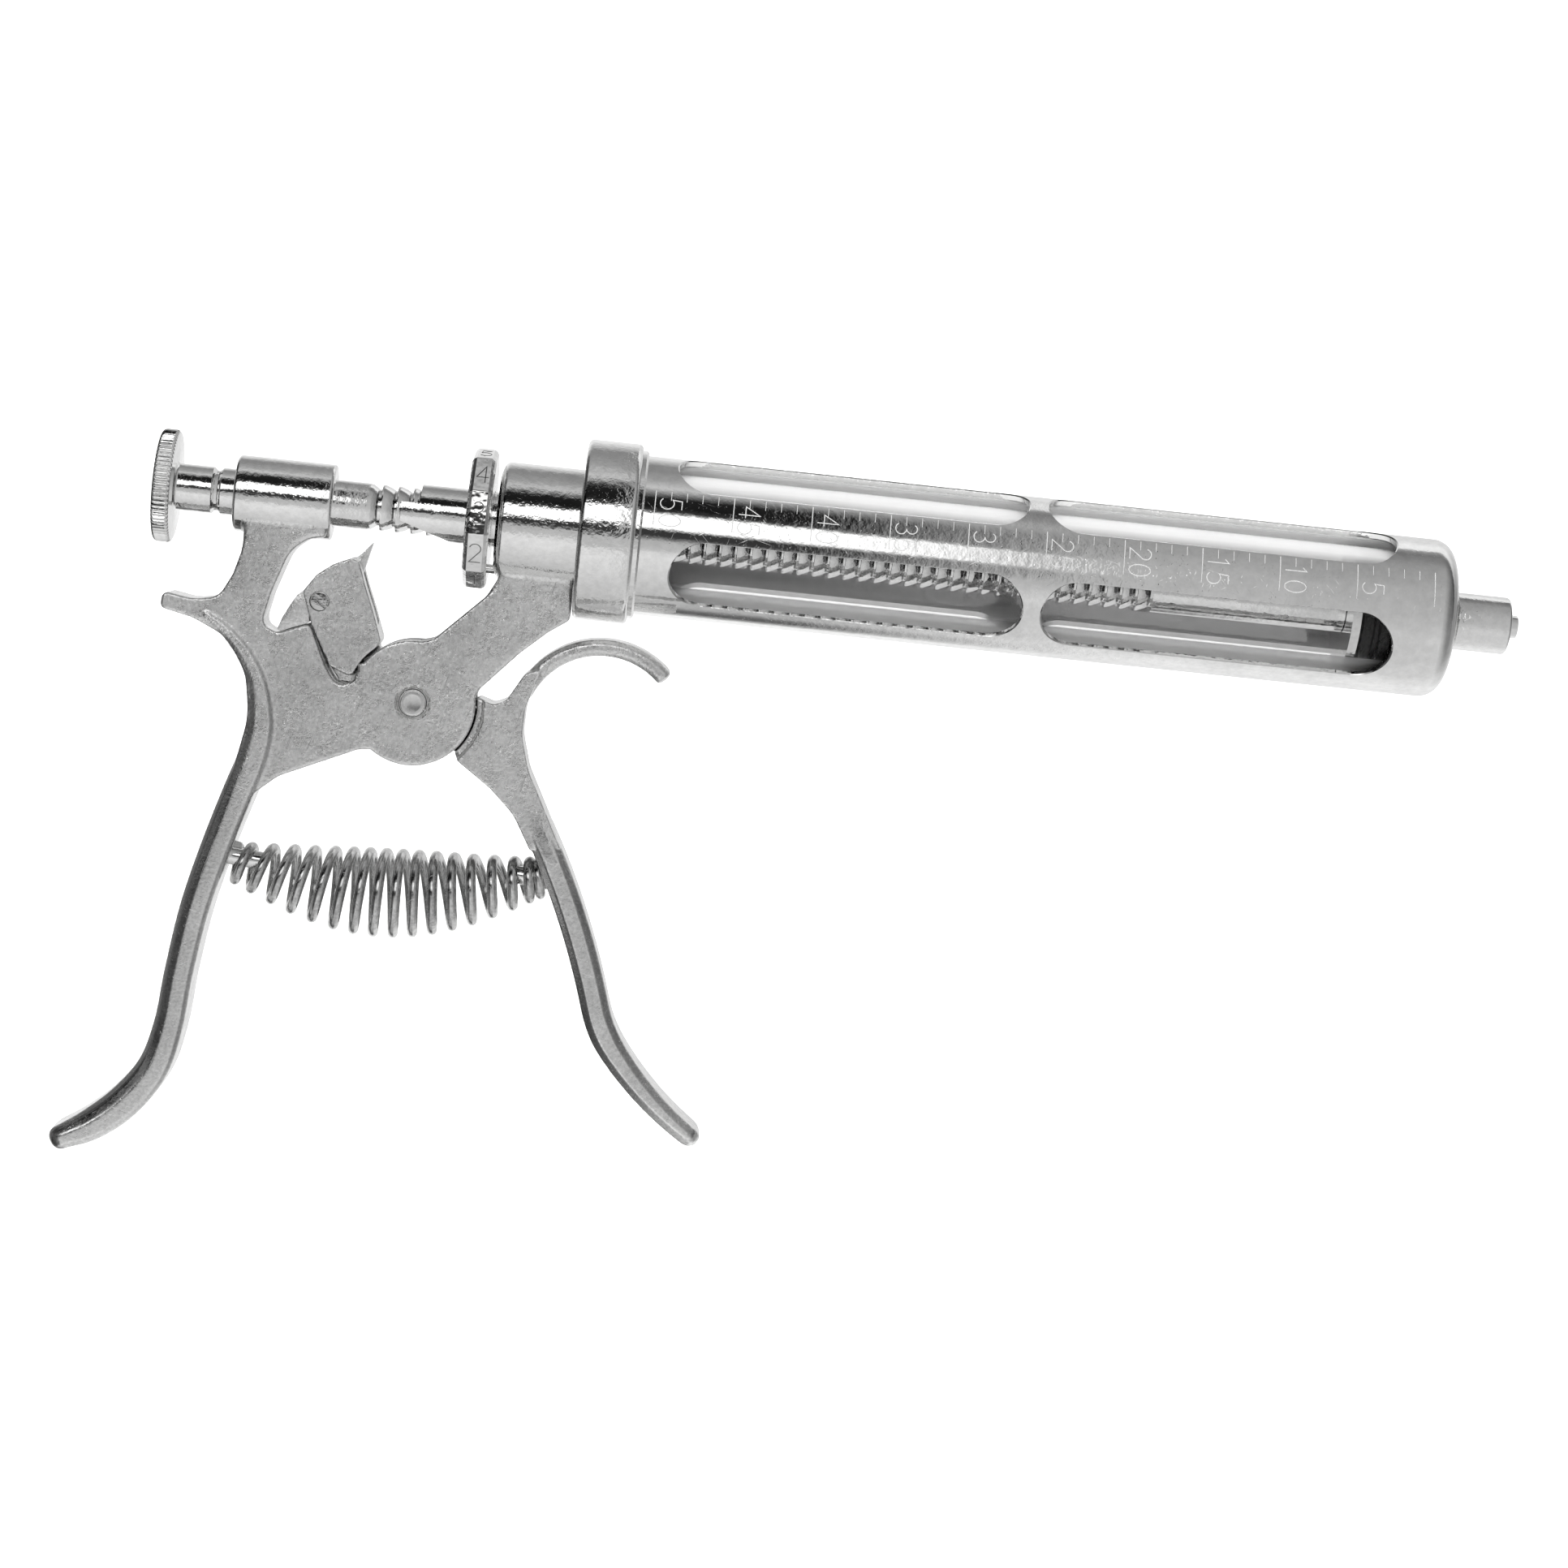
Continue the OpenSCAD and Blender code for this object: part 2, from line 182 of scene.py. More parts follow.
def finish(ob, body, slot, material, *nodes):
    """Scales a piece made in millimetres to metres, and hands it to its body."""
    ob.data.transform(Matrix.Scale(MM, 4))
    ob.data.materials.clear()
    ob.data.materials.append(material)
    if body:
        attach(ob, body)
    if nodes:
        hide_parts(*nodes)
    return ob


def rounded(points, n=7):
    """A closed outline with each corner (x, z, r) turned into an arc of radius r."""
    out = []
    k = len(points)
    for i in range(k):
        p0, p1, p2 = (Vector(points[j % k][:2]) for j in (i - 1, i, i + 1))
        r = points[i][2] if len(points[i]) > 2 else 0.0
        a, b = (p0 - p1), (p2 - p1)
        la, lb = a.length, b.length
        if r <= 0 or la < 1e-6 or lb < 1e-6:
            out.append((p1.x, p1.y))
            continue
        a, b = a / la, b / lb
        ang = math.acos(max(-1.0, min(1.0, a.dot(b))))
        if ang > math.pi - 0.02:
            out.append((p1.x, p1.y))
            continue
        t = min(r / math.tan(ang / 2), 0.49 * la, 0.49 * lb)
        r = t * math.tan(ang / 2)
        c = p1 + (a + b).normalized() * (r / math.sin(ang / 2))
        s, e = p1 + a * t - c, p1 + b * t - c
        a0, a1 = math.atan2(s.y, s.x), math.atan2(e.y, e.x)
        d = (a1 - a0 + math.pi) % (2 * math.pi) - math.pi
        for j in range(n + 1):
            g = a0 + d * j / n
            out.append((c.x + r * math.cos(g), c.y + r * math.sin(g)))
    return out


def prism(name, outline, t):
    """A side-view outline with thickness t, about the middle plane."""
    n = len(outline)
    v = [(x, y, z) for y in (-t / 2, t / 2) for x, z in outline]
    f = [tuple(range(n)), tuple(range(2 * n - 1, n - 1, -1))]
    f += [(i, (i + 1) % n, n + (i + 1) % n, n + i) for i in range(n)]
    ob = new_object(name, v, f)
    fix_normals(ob)
    return ob


def disc(x, z, r, n=96):
    turns = [2 * math.pi * i / n for i in range(n)]
    return [(x + r * math.cos(g), z + r * math.sin(g)) for g in turns]


def across(x, z, r, length, n=72):
    """A round bar that lies across the tool."""
    return prism("bar", disc(x, z, r, n), length)


def lathe(name, points, seg=160, closed=False, shape=None):
    """Turns (x, radius) points about the X axis. shape(angle, x, r) may change the radius."""
    v, f = [], []
    m = len(points)
    for i in range(seg):
        g = 2 * math.pi * i / seg
        for x, r in points:
            q = shape(g, x, r) if shape else r
            v.append((x, q * math.cos(g), q * math.sin(g)))
    last = m if closed else m - 1
    for i in range(seg):
        j = (i + 1) % seg
        for k in range(last):
            l = (k + 1) % m
            f.append((i * m + k, j * m + k, j * m + l, i * m + l))
    ob = new_object(name, v, f)
    fix_normals(ob)
    return ob


def turned(name, corners, seg=160, closed=False, n=6):
    """A lathe whose profile corners are (x, radius, fillet)."""
    return lathe(name, rounded(corners, n), seg, closed)


def lay_across(ob, x, y, z, turn=90):
    """Moves a turned piece from the X axis to one that runs across the tool."""
    ob.data.transform(Matrix.Translation((x, y, z)) @ Matrix.Rotation(rad(turn), 4, "Z"))
    return ob


def arc_points(p, heading, arcs, step=2.0):
    """Points and headings along a chain of tangent arcs in the side view."""
    out = [(p[0], p[1], heading)]
    x, z = p
    for r, a in arcs:
        s, q = (1 if r > 0 else -1), abs(r)
        cx, cz = x - s * q * math.sin(rad(heading)), z + s * q * math.cos(rad(heading))
        a0 = heading - 90 * s
        n = max(4, int(q * rad(a) / step) + 1)
        for k in range(1, n + 1):
            g = rad(a0 + s * a * k / n)
            out.append((cx + q * math.cos(g), cz + q * math.sin(g), heading + s * a * k / n))
        heading += s * a
        x, z = out[-1][:2]
    return out


def spline_points(ctrl, n=8):
    """A smooth curve through (x, z, w), giving (x, z, heading, w)."""
    c = [Vector(p) for p in ctrl]
    c = [c[0] * 2 - c[1]] + c + [c[-1] * 2 - c[-2]]
    pts = []
    for i in range(1, len(c) - 2):
        a, b, d, e = c[i - 1 : i + 3]
        for k in range(n):
            t = k / n
            bend = (2 * a - 5 * b + 4 * d - e) * t * t
            twist = (3 * b - a - 3 * d + e) * t**3
            pts.append(0.5 * (2 * b + (d - a) * t + bend + twist))
    pts.append(c[-2])
    out = []
    for i, p in enumerate(pts):
        a, b = pts[max(i - 1, 0)], pts[min(i + 1, len(pts) - 1)]
        out.append((p.x, p.y, math.degrees(math.atan2(b.y - a.y, b.x - a.x)), p.z))
    return out


def sweep(name, path, section, round_end=0.0, round_start=0.0):
    """Sweeps section(w, t) along (x, z, heading, w), where t runs from 0 to 1.

    A section is a list of (u, v): u along the left normal of the path, v along Y.
    """
    lens = [0.0]
    for a, b in zip(path[:-1], path[1:]):
        lens.append(lens[-1] + math.hypot(b[0] - a[0], b[1] - a[1]))
    rows = []

    def row(x, z, h, w, t, k=1.0, ky=1.0):
        nx, nz = -math.sin(rad(h)), math.cos(rad(h))
        rows.append([(x + nx * u * k, v * ky, z + nz * u * k) for u, v in section(w, t)])

    def cap(place, t, length, flatten, steps):
        """Closes one end with a rounded nose. The length is negative at the start."""
        x, z, h, w = place
        for k in steps:
            g = rad(k / 6 * 88)
            d = length * math.sin(g)
            fall = 1 - math.cos(g)
            x1, z1 = x + d * math.cos(rad(h)), z + d * math.sin(rad(h))
            row(x1, z1, h, w, t, 1 - fall * 0.75, 1 - fall * flatten)

    if round_start:
        cap(path[0], 0, -round_start, 0.0, range(6, 0, -1))
    for (x, z, h, w), l in zip(path, lens):
        row(x, z, h, w, l / lens[-1])
    if round_end:
        cap(path[-1], 1, round_end, 0.55, range(1, 7))
    m = len(rows[0])
    v = [p for r in rows for p in r]
    f = []
    for i in range(len(rows) - 1):
        for k in range(m):
            l = (k + 1) % m
            f.append((i * m + k, i * m + l, (i + 1) * m + l, (i + 1) * m + k))
    f.append(tuple(range(m)))
    f.append(tuple(range(len(v) - 1, len(v) - m - 1, -1)))
    ob = new_object(name, v, f)
    fix_normals(ob)
    return ob


def join(name, parts):
    """One object holding all the parts' meshes, still separate shells."""
    bm = bmesh.new()
    for p in parts:
        bm.from_mesh(p.data)
    mesh = bpy.data.meshes.new(name)
    bm.to_mesh(mesh)
    bm.free()
    for p in parts:
        drop(p)
    ob = bpy.data.objects.new(name, mesh)
    scene.collection.objects.link(ob)
    return ob


# ---------------------------------------------------------------- materials


def nodes_of(mat):
    mat.use_nodes = True
    nt = mat.node_tree
    nt.nodes.clear()
    out = nt.nodes.new("ShaderNodeOutputMaterial")
    b = nt.nodes.new("ShaderNodeBsdfPrincipled")
    nt.links.new(b.outputs[0], out.inputs[0])
    return nt, b


def noise(nt, src, scale, detail=3.0, rough=0.5, stretch=(1, 1, 1), turn=0.0):
    """A noise whose scale is in cells for a millimetre."""
    if turn:
        tm = nt.nodes.new("ShaderNodeMapping")
        tm.inputs["Rotation"].default_value = (0, turn, 0)
        nt.links.new(src, tm.inputs[0])
        src = tm.outputs[0]
    mp = nt.nodes.new("ShaderNodeMapping")
    mp.inputs["Scale"].default_value = [scale / MM * k for k in stretch]
    nt.links.new(src, mp.inputs[0])
    n = nt.nodes.new("ShaderNodeTexNoise")
    n.inputs["Scale"].default_value = 1.0
    n.inputs["Detail"].default_value = detail
    n.inputs["Roughness"].default_value = rough
    nt.links.new(mp.outputs[0], n.inputs["Vector"])
    return n.outputs[0]


def ramp(nt, src, a, b, va, vb):
    m = nt.nodes.new("ShaderNodeMapRange")
    m.inputs["From Min"].default_value = a
    m.inputs["From Max"].default_value = b
    m.inputs["To Min"].default_value = va
    m.inputs["To Max"].default_value = vb
    nt.links.new(src, m.inputs["Value"])
    return m.outputs[0]


def math_node(nt, op, a, b):
    m = nt.nodes.new("ShaderNodeMath")
    m.operation = op
    for i, x in enumerate((a, b)):
        if isinstance(x, (int, float)):
            m.inputs[i].default_value = x
        else:
            nt.links.new(x, m.inputs[i])
    return m.outputs[0]


def two_tones(nt, src, low, high, dark, light):
    """A colour that goes from dark to light as src goes from low to high."""
    cr = nt.nodes.new("ShaderNodeValToRGB")
    for e, pos, tone in zip(cr.color_ramp.elements, (low, high), (dark, light)):
        e.position = pos
        e.color = (*tone, 1)
    nt.links.new(src, cr.inputs[0])
    return cr.outputs[0]


def add_bump(nt, b, height, distance, strength):
    bump = nt.nodes.new("ShaderNodeBump")
    bump.inputs["Strength"].default_value = strength
    bump.inputs["Distance"].default_value = distance
    nt.links.new(height, bump.inputs["Height"])
    nt.links.new(bump.outputs[0], b.inputs["Normal"])


def scratch_lines(nt, src):
    """Fine scratches in four directions, 1 on a scratch and 0 beside it."""
    lines = None
    ways = ((0.55, (0.08, 1, 1.6)), (-0.85, (0.10, 1, 1.9)), (1.3, (0.07, 1.2, 1.5)), (-0.25, (0.06, 1, 2.1)))
    for turn, stretch in ways:
        way = ramp(nt, noise(nt, src, 2.2, 1.0, 0.5, stretch, turn), 0.71, 0.78, 0.0, 1.0)
        lines = way if lines is None else math_node(nt, "MAXIMUM", lines, way)
    return lines


def pit_holes(nt, src):
    """Small pits, 1 in a pit and 0 beside it."""
    mp = nt.nodes.new("ShaderNodeMapping")
    mp.inputs["Scale"].default_value = (900, 900, 900)
    nt.links.new(src, mp.inputs[0])
    vo = nt.nodes.new("ShaderNodeTexVoronoi")
    vo.inputs["Scale"].default_value = 1.0
    nt.links.new(mp.outputs[0], vo.inputs["Vector"])
    return ramp(nt, vo.outputs["Distance"], 0.05, 0.16, 1.0, 0.0)


def metal(name, dark, light, rough, spread, grain=0.0, grain_scale=2.5, scratch=0.0, pits=0.0, worn=False):
    """Plated metal: colour mottling, uneven roughness, grain, fine scratches and pits.

    Worn metal is smoother on the grips, low down on the tool.
    """
    mat = bpy.data.materials.new(name)
    nt, b = nodes_of(mat)
    b.inputs["Metallic"].default_value = 1.0
    src = nt.nodes.new("ShaderNodeTexCoord").outputs["Object"]
    big = noise(nt, src, 0.09, 4.0, 0.6)
    fine = noise(nt, src, grain_scale, 2.0, 0.6)
    mixed = math_node(nt, "ADD", math_node(nt, "MULTIPLY", big, 0.5), math_node(nt, "MULTIPLY", fine, 0.5))
    tones = [(g, g, g * 0.995) for g in (dark, light)]
    nt.links.new(two_tones(nt, mixed, 0.36, 0.62, *tones), b.inputs["Base Color"])
    smear = noise(nt, src, 0.5, 4.0, 0.65)
    r = ramp(nt, smear, 0.35, 0.7, rough - spread, rough + spread)
    height = math_node(nt, "MULTIPLY", fine, grain)
    if scratch:
        lines = scratch_lines(nt, src)
        height = math_node(nt, "SUBTRACT", height, math_node(nt, "MULTIPLY", lines, scratch))
        r = math_node(nt, "ADD", r, math_node(nt, "MULTIPLY", lines, 0.10))
    if pits:
        height = math_node(nt, "SUBTRACT", height, math_node(nt, "MULTIPLY", pit_holes(nt, src), pits))
    if worn:
        sp = nt.nodes.new("ShaderNodeSeparateXYZ")
        nt.links.new(src, sp.inputs[0])
        height = math_node(nt, "MULTIPLY", height, ramp(nt, sp.outputs["Z"], -0.056, -0.044, 0.30, 1.0))
        r = math_node(nt, "MULTIPLY", r, ramp(nt, sp.outputs["Z"], -0.056, -0.044, 0.75, 1.0))
    nt.links.new(r, b.inputs["Roughness"])
    add_bump(nt, b, height, 0.0001, 1.0)
    return mat


def rubber():
    mat = bpy.data.materials.new("black_rubber")
    nt, b = nodes_of(mat)
    b.inputs["Specular IOR Level"].default_value = 0.22
    src = nt.nodes.new("ShaderNodeTexCoord").outputs["Object"]
    n = noise(nt, src, 1.2, 4.0, 0.6)
    nt.links.new(two_tones(nt, n, 0.0, 1.0, (0.008,) * 3, (0.022,) * 3), b.inputs["Base Color"])
    nt.links.new(ramp(nt, n, 0.3, 0.7, 0.22, 0.38), b.inputs["Roughness"])
    add_bump(nt, b, n, 0.00005, 0.6)
    return mat


def glass():
    """Clear tube: little reflection when faced, more at the edges. Its colour is pale on the sides and far
    half and near-black on the near side; the pale colour, shown where the alpha rises at the edges and on the
    far side, is painted reflection.
    """
    mat = bpy.data.materials.new("clear_glass")
    nt, b = nodes_of(mat)
    b.inputs["Specular IOR Level"].default_value = 0.9
    src = nt.nodes.new("ShaderNodeTexCoord").outputs["Object"]
    n = noise(nt, src, 0.3, 3.0, 0.6)
    nt.links.new(ramp(nt, n, 0.3, 0.7, 0.02, 0.07), b.inputs["Roughness"])
    sp = nt.nodes.new("ShaderNodeSeparateXYZ")
    nt.links.new(src, sp.inputs[0])
    # pale on the sides and far half, near-black on the near side: painted reflection where the alpha lets the
    # colour show
    nt.links.new(ramp(nt, sp.outputs["Y"], -0.0085, -0.0055, 0.05, 0.88), b.inputs["Base Color"])
    # the far side is more opaque, so its pale colour shows there as a painted sheen
    far_side_painted_sheen = ramp(nt, sp.outputs["Y"], -0.002, 0.006, 0.0, 0.19)
    lw = nt.nodes.new("ShaderNodeLayerWeight")
    lw.inputs["Blend"].default_value = 0.25
    edge = math_node(nt, "MULTIPLY", lw.outputs["Fresnel"], 0.8)
    total = math_node(nt, "ADD", math_node(nt, "ADD", far_side_painted_sheen, 0.02), edge)
    nt.links.new(math_node(nt, "MINIMUM", total, 0.9), b.inputs["Alpha"])
    return mat


def frosted():
    mat = metal("frosted_line", 0.70, 0.92, 0.55, 0.08, grain=0.3, grain_scale=4.0)
    mat.node_tree.nodes["Principled BSDF"].inputs["Metallic"].default_value = 0.1
    return mat


CHROME = metal(
    "polished_plate", 0.80, 0.93, 0.03, 0.012, grain=0.55, grain_scale=0.9, scratch=0.04, pits=0.10
)
SLEEVE = metal("sleeve_plate", 0.80, 0.93, 0.025, 0.01, grain=0.20, grain_scale=0.7, scratch=0.03, pits=0.06)
WHEEL = metal("wheel_plate", 0.74, 0.93, 0.05, 0.02, grain=2.6, grain_scale=0.35, scratch=0.06, pits=0.25)
CAST = metal(
    "cast_plate", 0.70, 0.99, 0.30, 0.09, grain=0.9, grain_scale=1.9, scratch=0.35, pits=0.35, worn=True
)
WIRE = metal("spring_wire", 0.46, 0.72, 0.17, 0.04, grain=0.12, grain_scale=1.5, scratch=0.2)
# Dark colour for the wheel numbers: painted shade of their engraved grooves.
ENGRAVED_SHADE = metal("engraved_line_shade", 0.16, 0.30, 0.35, 0.08, grain=0.1, grain_scale=3.0)
SATIN = metal("turned_face", 0.86, 0.98, 0.22, 0.04, grain=0.15, grain_scale=1.2)
# Near-black metal for the piston spacer, recessed between the two seals.
DARK = metal("near_black_metal", 0.02, 0.05, 0.40, 0.08, grain=0.2, grain_scale=2.0)
FROSTED = frosted()
RUBBER = rubber()
GLASS = glass()

# ---------------------------------------------------------------- frame

# the rear grip from the horn down: X, Z and width
GRIP_LINE = [
    (-221.8, -21.0, 1.2), (-218.2, -23.4, 2.2), (-214.9, -26.8, 3.0), (-212.5, -30.8, 3.6),
    (-211.3, -35.5, 4.4), (-211.1, -40.0, 5.0), (-212.1, -45.2, 5.3), (-213.7, -50.3, 5.4),
    (-216.6, -60.0, 5.3), (-219.3, -71.0, 5.2), (-221.0, -82.5, 5.1), (-221.9, -91.5, 5.2),
    (-223.9, -99.3, 5.6), (-228.2, -105.6, 5.9), (-233.3, -110.0, 5.5), (-238.1, -112.6, 4.2),
]
# the neck, the horn and the web down to the cheeks: X, Z and corner radius
WEB = [
    (-216.9, -4.5, 0), (-216.9, -9.5, 5), (-218.0, -13.6, 4), (-220.0, -17.6, 3), (-224.2, -18.5, 8),
    (-229.5, -17.6, 1.1), (-229.8, -20.5, 1.1), (-224.0, -21.7, 8), (-218.0, -24.4, 8), (-214.4, -30.0, 10),
    (-213.2, -37.5, 16), (-215.0, -47.0, 10), (-216.8, -54.5, 0), (-213.4, -56.0, 0.8), (-211.2, -50.6, 5),
    (-207.2, -47.1, 6), (-194.2, -41.2, 2.4), (-190.0, -40.6, 0), (-188.0, -34.0, 0), (-190.0, -26.0, 0),
    (-195.5, -26.5, 0), (-195.4, -29.6, 1.9), (-198.9, -30.6, 2.0), (-201.0, -27.6, 1.2),
    (-204.3, -20.6, 0.8), (-209.6, -22.7, 1.5), (-212.4, -21.6, 3.0), (-211.3, -16.2, 8), (-208.8, -8.8, 6),
    (-205.8, -6.4, 2.5), (-202.9, -5.8, 0), (-202.9, -4.5, 0),
]
# the slanted web from the cheeks up to the head
DIAGONAL = [
    (-186.5, -30.0, 0), (-185.0, -21.6, 0.5), (-183.2, -21.1, 3), (-175.0, -12.9, 3), (-173.0, -9.0, 2),
    (-171.0, -6.0, 0), (-160.6, -6.0, 0), (-160.6, -15.6, 0), (-164.0, -18.0, 3), (-168.4, -22.0, 4),
    (-174.7, -28.9, 0.8), (-176.4, -33.0, 0),
]
# where the neck meets the rear boss, and the slanted web meets the head: X range and Z range
FILLETS = [(-220, -201, -8.8, -2.5), (-176, -160, -12.5, -6.0)]


def rear_section(w, t):
    """Rounded on the palm side at -u, crisper on the finger side at +u, and thicker below the horn."""
    a, b = w / 2, (10.6 + 1.0 * min(1.0, t * 4)) / 2
    palm = min(2.3, 0.9 + 3.2 * t, w * 0.4)
    front = min(0.8, w * 0.2)
    half = [
        (-a, 0.0), (-a, b - palm * 1.1), (-a + palm * 0.35, b - palm * 0.38), (-a + palm, b),
        (a - front, b), (a, b - front), (a, 0.0),
    ]
    return half + [(u, -v) for u, v in reversed(half[1:-1])]


def frame_casting():
    """The forging: neck, horn, rear grip, slotted cheeks, slanted web, and cores inside boss and head."""
    casting = prism("frame_casting", rounded(WEB), BODY_T)
    for p in (
        prism("cheeks", disc(PX, PZ, CHEEK, 128), BODY_T),
        prism("diagonal", rounded(DIAGONAL), BODY_T),
        sweep("grip", spline_points(GRIP_LINE, 6), rear_section, round_end=2.6, round_start=0.4),
        lathe("boss_core", [(-218.7, 0), (-218.7, 6.45), (-202.8, 6.45), (-202.8, 0)], 96),
        lathe("head_core", [(-173.8, 0), (-173.8, 9.3), (-172.8, 10.05), (-160.8, 10.05), (-160.8, 0)], 128),
    ):
        boolean(casting, p, "UNION")
    # the slot for the tongue, the notch for the pawl block, the pivot hole and the two bores
    notch = [(-190, -34), (-200.5, -31.4), (-205.6, -20), (-200, -14), (-184, -18), (-180, -28)]
    boolean(casting, prism("slot", disc(PX, PZ, CHEEK + 0.8, 128), SLOT_T))
    boolean(casting, prism("notch", notch, SLOT_T))
    boolean(casting, across(PX, PZ, 2.45, THROUGH))
    boolean(casting, lathe("rear_bore", [(-225, 0), (-225, 4.06), (-200, 4.06), (-200, 0)], 96))
    boolean(casting, lathe("head_bore", [(-180, 0), (-180, 4.9), (-150, 4.9), (-150, 0)], 96))
    remesh(casting, 0.27, 5)
    soften(casting, lambda c: any(x0 < c.x < x1 and z0 < c.z < z1 for x0, x1, z0, z1 in FILLETS), 30)
    # countersinks at the pivot, cut after the remesh so that they stay crisp
    for side in (-1, 1):
        sink = lathe("sink", [(0, 0), (0, 3.15), (-0.75, 2.55), (-0.75, 0)], 96)
        boolean(casting, lay_across(sink, PX, side * (BODY_T / 2 + 0.06), PZ, 90 * side))
    finish(shade(casting, 50), "frame", "cast_nickel", CAST, "frame")


def rear_boss():
    corners = [(-219.1, 4.08, 0.25), (-219.1, 6.5, 0.6), (-202.4, 6.5, 0.55), (-202.4, 4.08, 0.3)]
    boss = turned("rear_boss", corners, 192, True)
    finish(shade(boss, 40), "frame", "cast_nickel", CHROME)


def head_and_collar():
    corners = [
        (-174.5, 4.82, 0.2), (-174.5, 8.2, 0.4), (-173.9, 10.1, 1.6), (-160.35, 10.1, 0.25),
        (-160.35, 15.42, 0.9), (-150.95, 15.42, 0.9), (-150.95, 13.7, 0.2), (-158.2, 13.7, 0),
        (-158.2, 4.3, 0), (-159.9, 4.82, 0),
    ]
    head = turned("head_and_collar", corners, 256, True, 8)
    finish(shade(head, 35), "frame", "cast_nickel", CHROME)


def pivot_pin():
    corners = [
        (-4.78, 0, 0), (-4.98, 1.5, 0.1), (-4.98, 2.05, 0.25), (-4.6, 2.3, 0.2), (4.6, 2.3, 0.2),
        (4.98, 2.05, 0.3), (4.98, 0, 0),
    ]
    pin = lay_across(turned("pivot_pin_turned", corners, 96), PX, 0, PZ)
    finish(shade(pin, 40), "frame", "bright_plate", SATIN, "pivot_pin")


# ---------------------------------------------------------------- sleeve with windows

WINDOW_W, WINDOW_L = 11.9, 59.8
WINDOW_STARTS = (-144.6, -81.5)
WINDOW_TURNS = [(-26 + 90 * k) for k in range(4)]  # degrees above the near side


def window_cutter(x0, turn):
    """A slot-shaped plug that follows the round of the sleeve, and flares at the top for the bevel."""
    r = WINDOW_W / 2
    loop = []
    for cx, start in ((x0 + r, 90), (x0 + WINDOW_L - r, -90)):
        for k in range(33):
            g = rad(start + 180 * k / 32)
            loop.append((cx + r * math.cos(g), r * math.sin(g), math.cos(g), math.sin(g)))
    v = []
    n = len(loop)
    for up, off in ((-4.0, 0.0), (-0.22, 0.0), (0.35, 0.57)):
        for x, y, nx, ny in loop:
            h = math.sqrt(SLEEVE_R**2 - y * y) + up
            v.append((x + nx * off, y + ny * off, h))
    f = []
    for a in range(2):
        f += [(a * n + i, a * n + (i + 1) % n, (a + 1) * n + (i + 1) % n, (a + 1) * n + i) for i in range(n)]
    lo = len(v)
    v.append((x0 + WINDOW_L / 2, 0, SLEEVE_R - 4.0))
    v.append((x0 + WINDOW_L / 2, 0, SLEEVE_R + 1.5))
    f += [(lo, (i + 1) % n, i) for i in range(n)]
    f += [(lo + 1, 2 * n + i, 2 * n + (i + 1) % n) for i in range(n)]
    ob = new_object("cutter", v, f)
    fix_normals(ob)
    ob.data.transform(Matrix.Rotation(rad(90 - turn), 4, "X"))
    return ob


def round_normals(ob):
    """Gives the round faces of the sleeve true cylinder normals, so that the windows leave no dents."""
    me = ob.data
    me.update()
    normals = [Vector(c.vector) for c in me.corner_normals]
    for poly in me.polygons:
        radii = [math.hypot(me.vertices[i].co.y, me.vertices[i].co.z) for i in poly.vertices]
        outside = all(abs(r - SLEEVE_R) < 0.004 for r in radii)
        inside = all(abs(r - SEAT_R) < 0.004 for r in radii)
        if (outside or inside) and abs(poly.normal.x) < 0.1:
            for li in poly.loop_indices:
                co = me.vertices[me.loops[li].vertex_index].co
                q = Vector((0, co.y, co.z)).normalized()
                normals[li] = q if outside else -q
    me.normals_split_custom_set(normals)


def sleeve():
    corners = [
        (-158.0, SEAT_R, 0), (-158.0, SLEEVE_R, 0.1), (-10.75, SLEEVE_R, 3.6), (-10.75, 5.0, 0.4),
        (-11.35, 4.6, 0.2), (-11.35, NOSE_R, 0), (-14.35, NOSE_R, 0), (-14.35, SEAT_R, 0),
    ]
    ob = turned("sleeve_windowed", corners, 360, True, 12)
    cutters = [window_cutter(x0, turn) for turn in WINDOW_TURNS for x0 in WINDOW_STARTS]
    boolean(ob, join("cutters", cutters))
    shade(ob, 28)
    round_normals(ob)
    finish(ob, "frame", "bright_plate", SLEEVE, "barrel_sleeve")


# ---------------------------------------------------------------- numbers and graduations


def curve_points(cx, cy, rx, ry, a0, a1, n=14):
    """Part of an ellipse, from angle a0 to a1."""
    angles = [rad(a0 + (a1 - a0) * k / n) for k in range(n + 1)]
    return [(cx + rx * math.cos(g), cy + ry * math.sin(g)) for g in angles]


# strokes of each digit, one unit high
DIGITS = {
    "0": [curve_points(0.3, 0.5, 0.25, 0.47, 90, 450, 26)],
    "1": [[(0.14, 0.80), (0.32, 0.97), (0.32, 0.03)]],
    "2": [curve_points(0.3, 0.72, 0.25, 0.25, 165, -35, 14) + [(0.05, 0.03), (0.56, 0.03)]],
    "3": [
        curve_points(0.28, 0.74, 0.22, 0.23, 150, -90, 14),
        curve_points(0.28, 0.27, 0.26, 0.24, 90, -150, 14),
    ],
    "4": [[(0.43, 0.03), (0.43, 0.97), (0.04, 0.33), (0.57, 0.33)]],
    "5": [[(0.52, 0.97), (0.13, 0.97), (0.09, 0.56)] + curve_points(0.27, 0.33, 0.27, 0.30, 125, -140, 16)],
}


def ribbon(points, half):
    """Left and right edge points of a line of width 2*half, with mitred corners."""
    left, right = [], []
    n = len(points)
    for i in range(n):
        p = Vector(points[i])
        a = (p - Vector(points[i - 1])).normalized() if i else None
        b = (Vector(points[i + 1]) - p).normalized() if i < n - 1 else None
        d = (a or b) if (a is None or b is None) else (a + b).normalized()
        nrm = Vector((-d.y, d.x))
        k = half
        if a is not None and b is not None:
            k = half / max(0.45, nrm.dot(Vector((-a.y, a.x))))
        left.append(p + nrm * k)
        right.append(p - nrm * k)
    return left, right


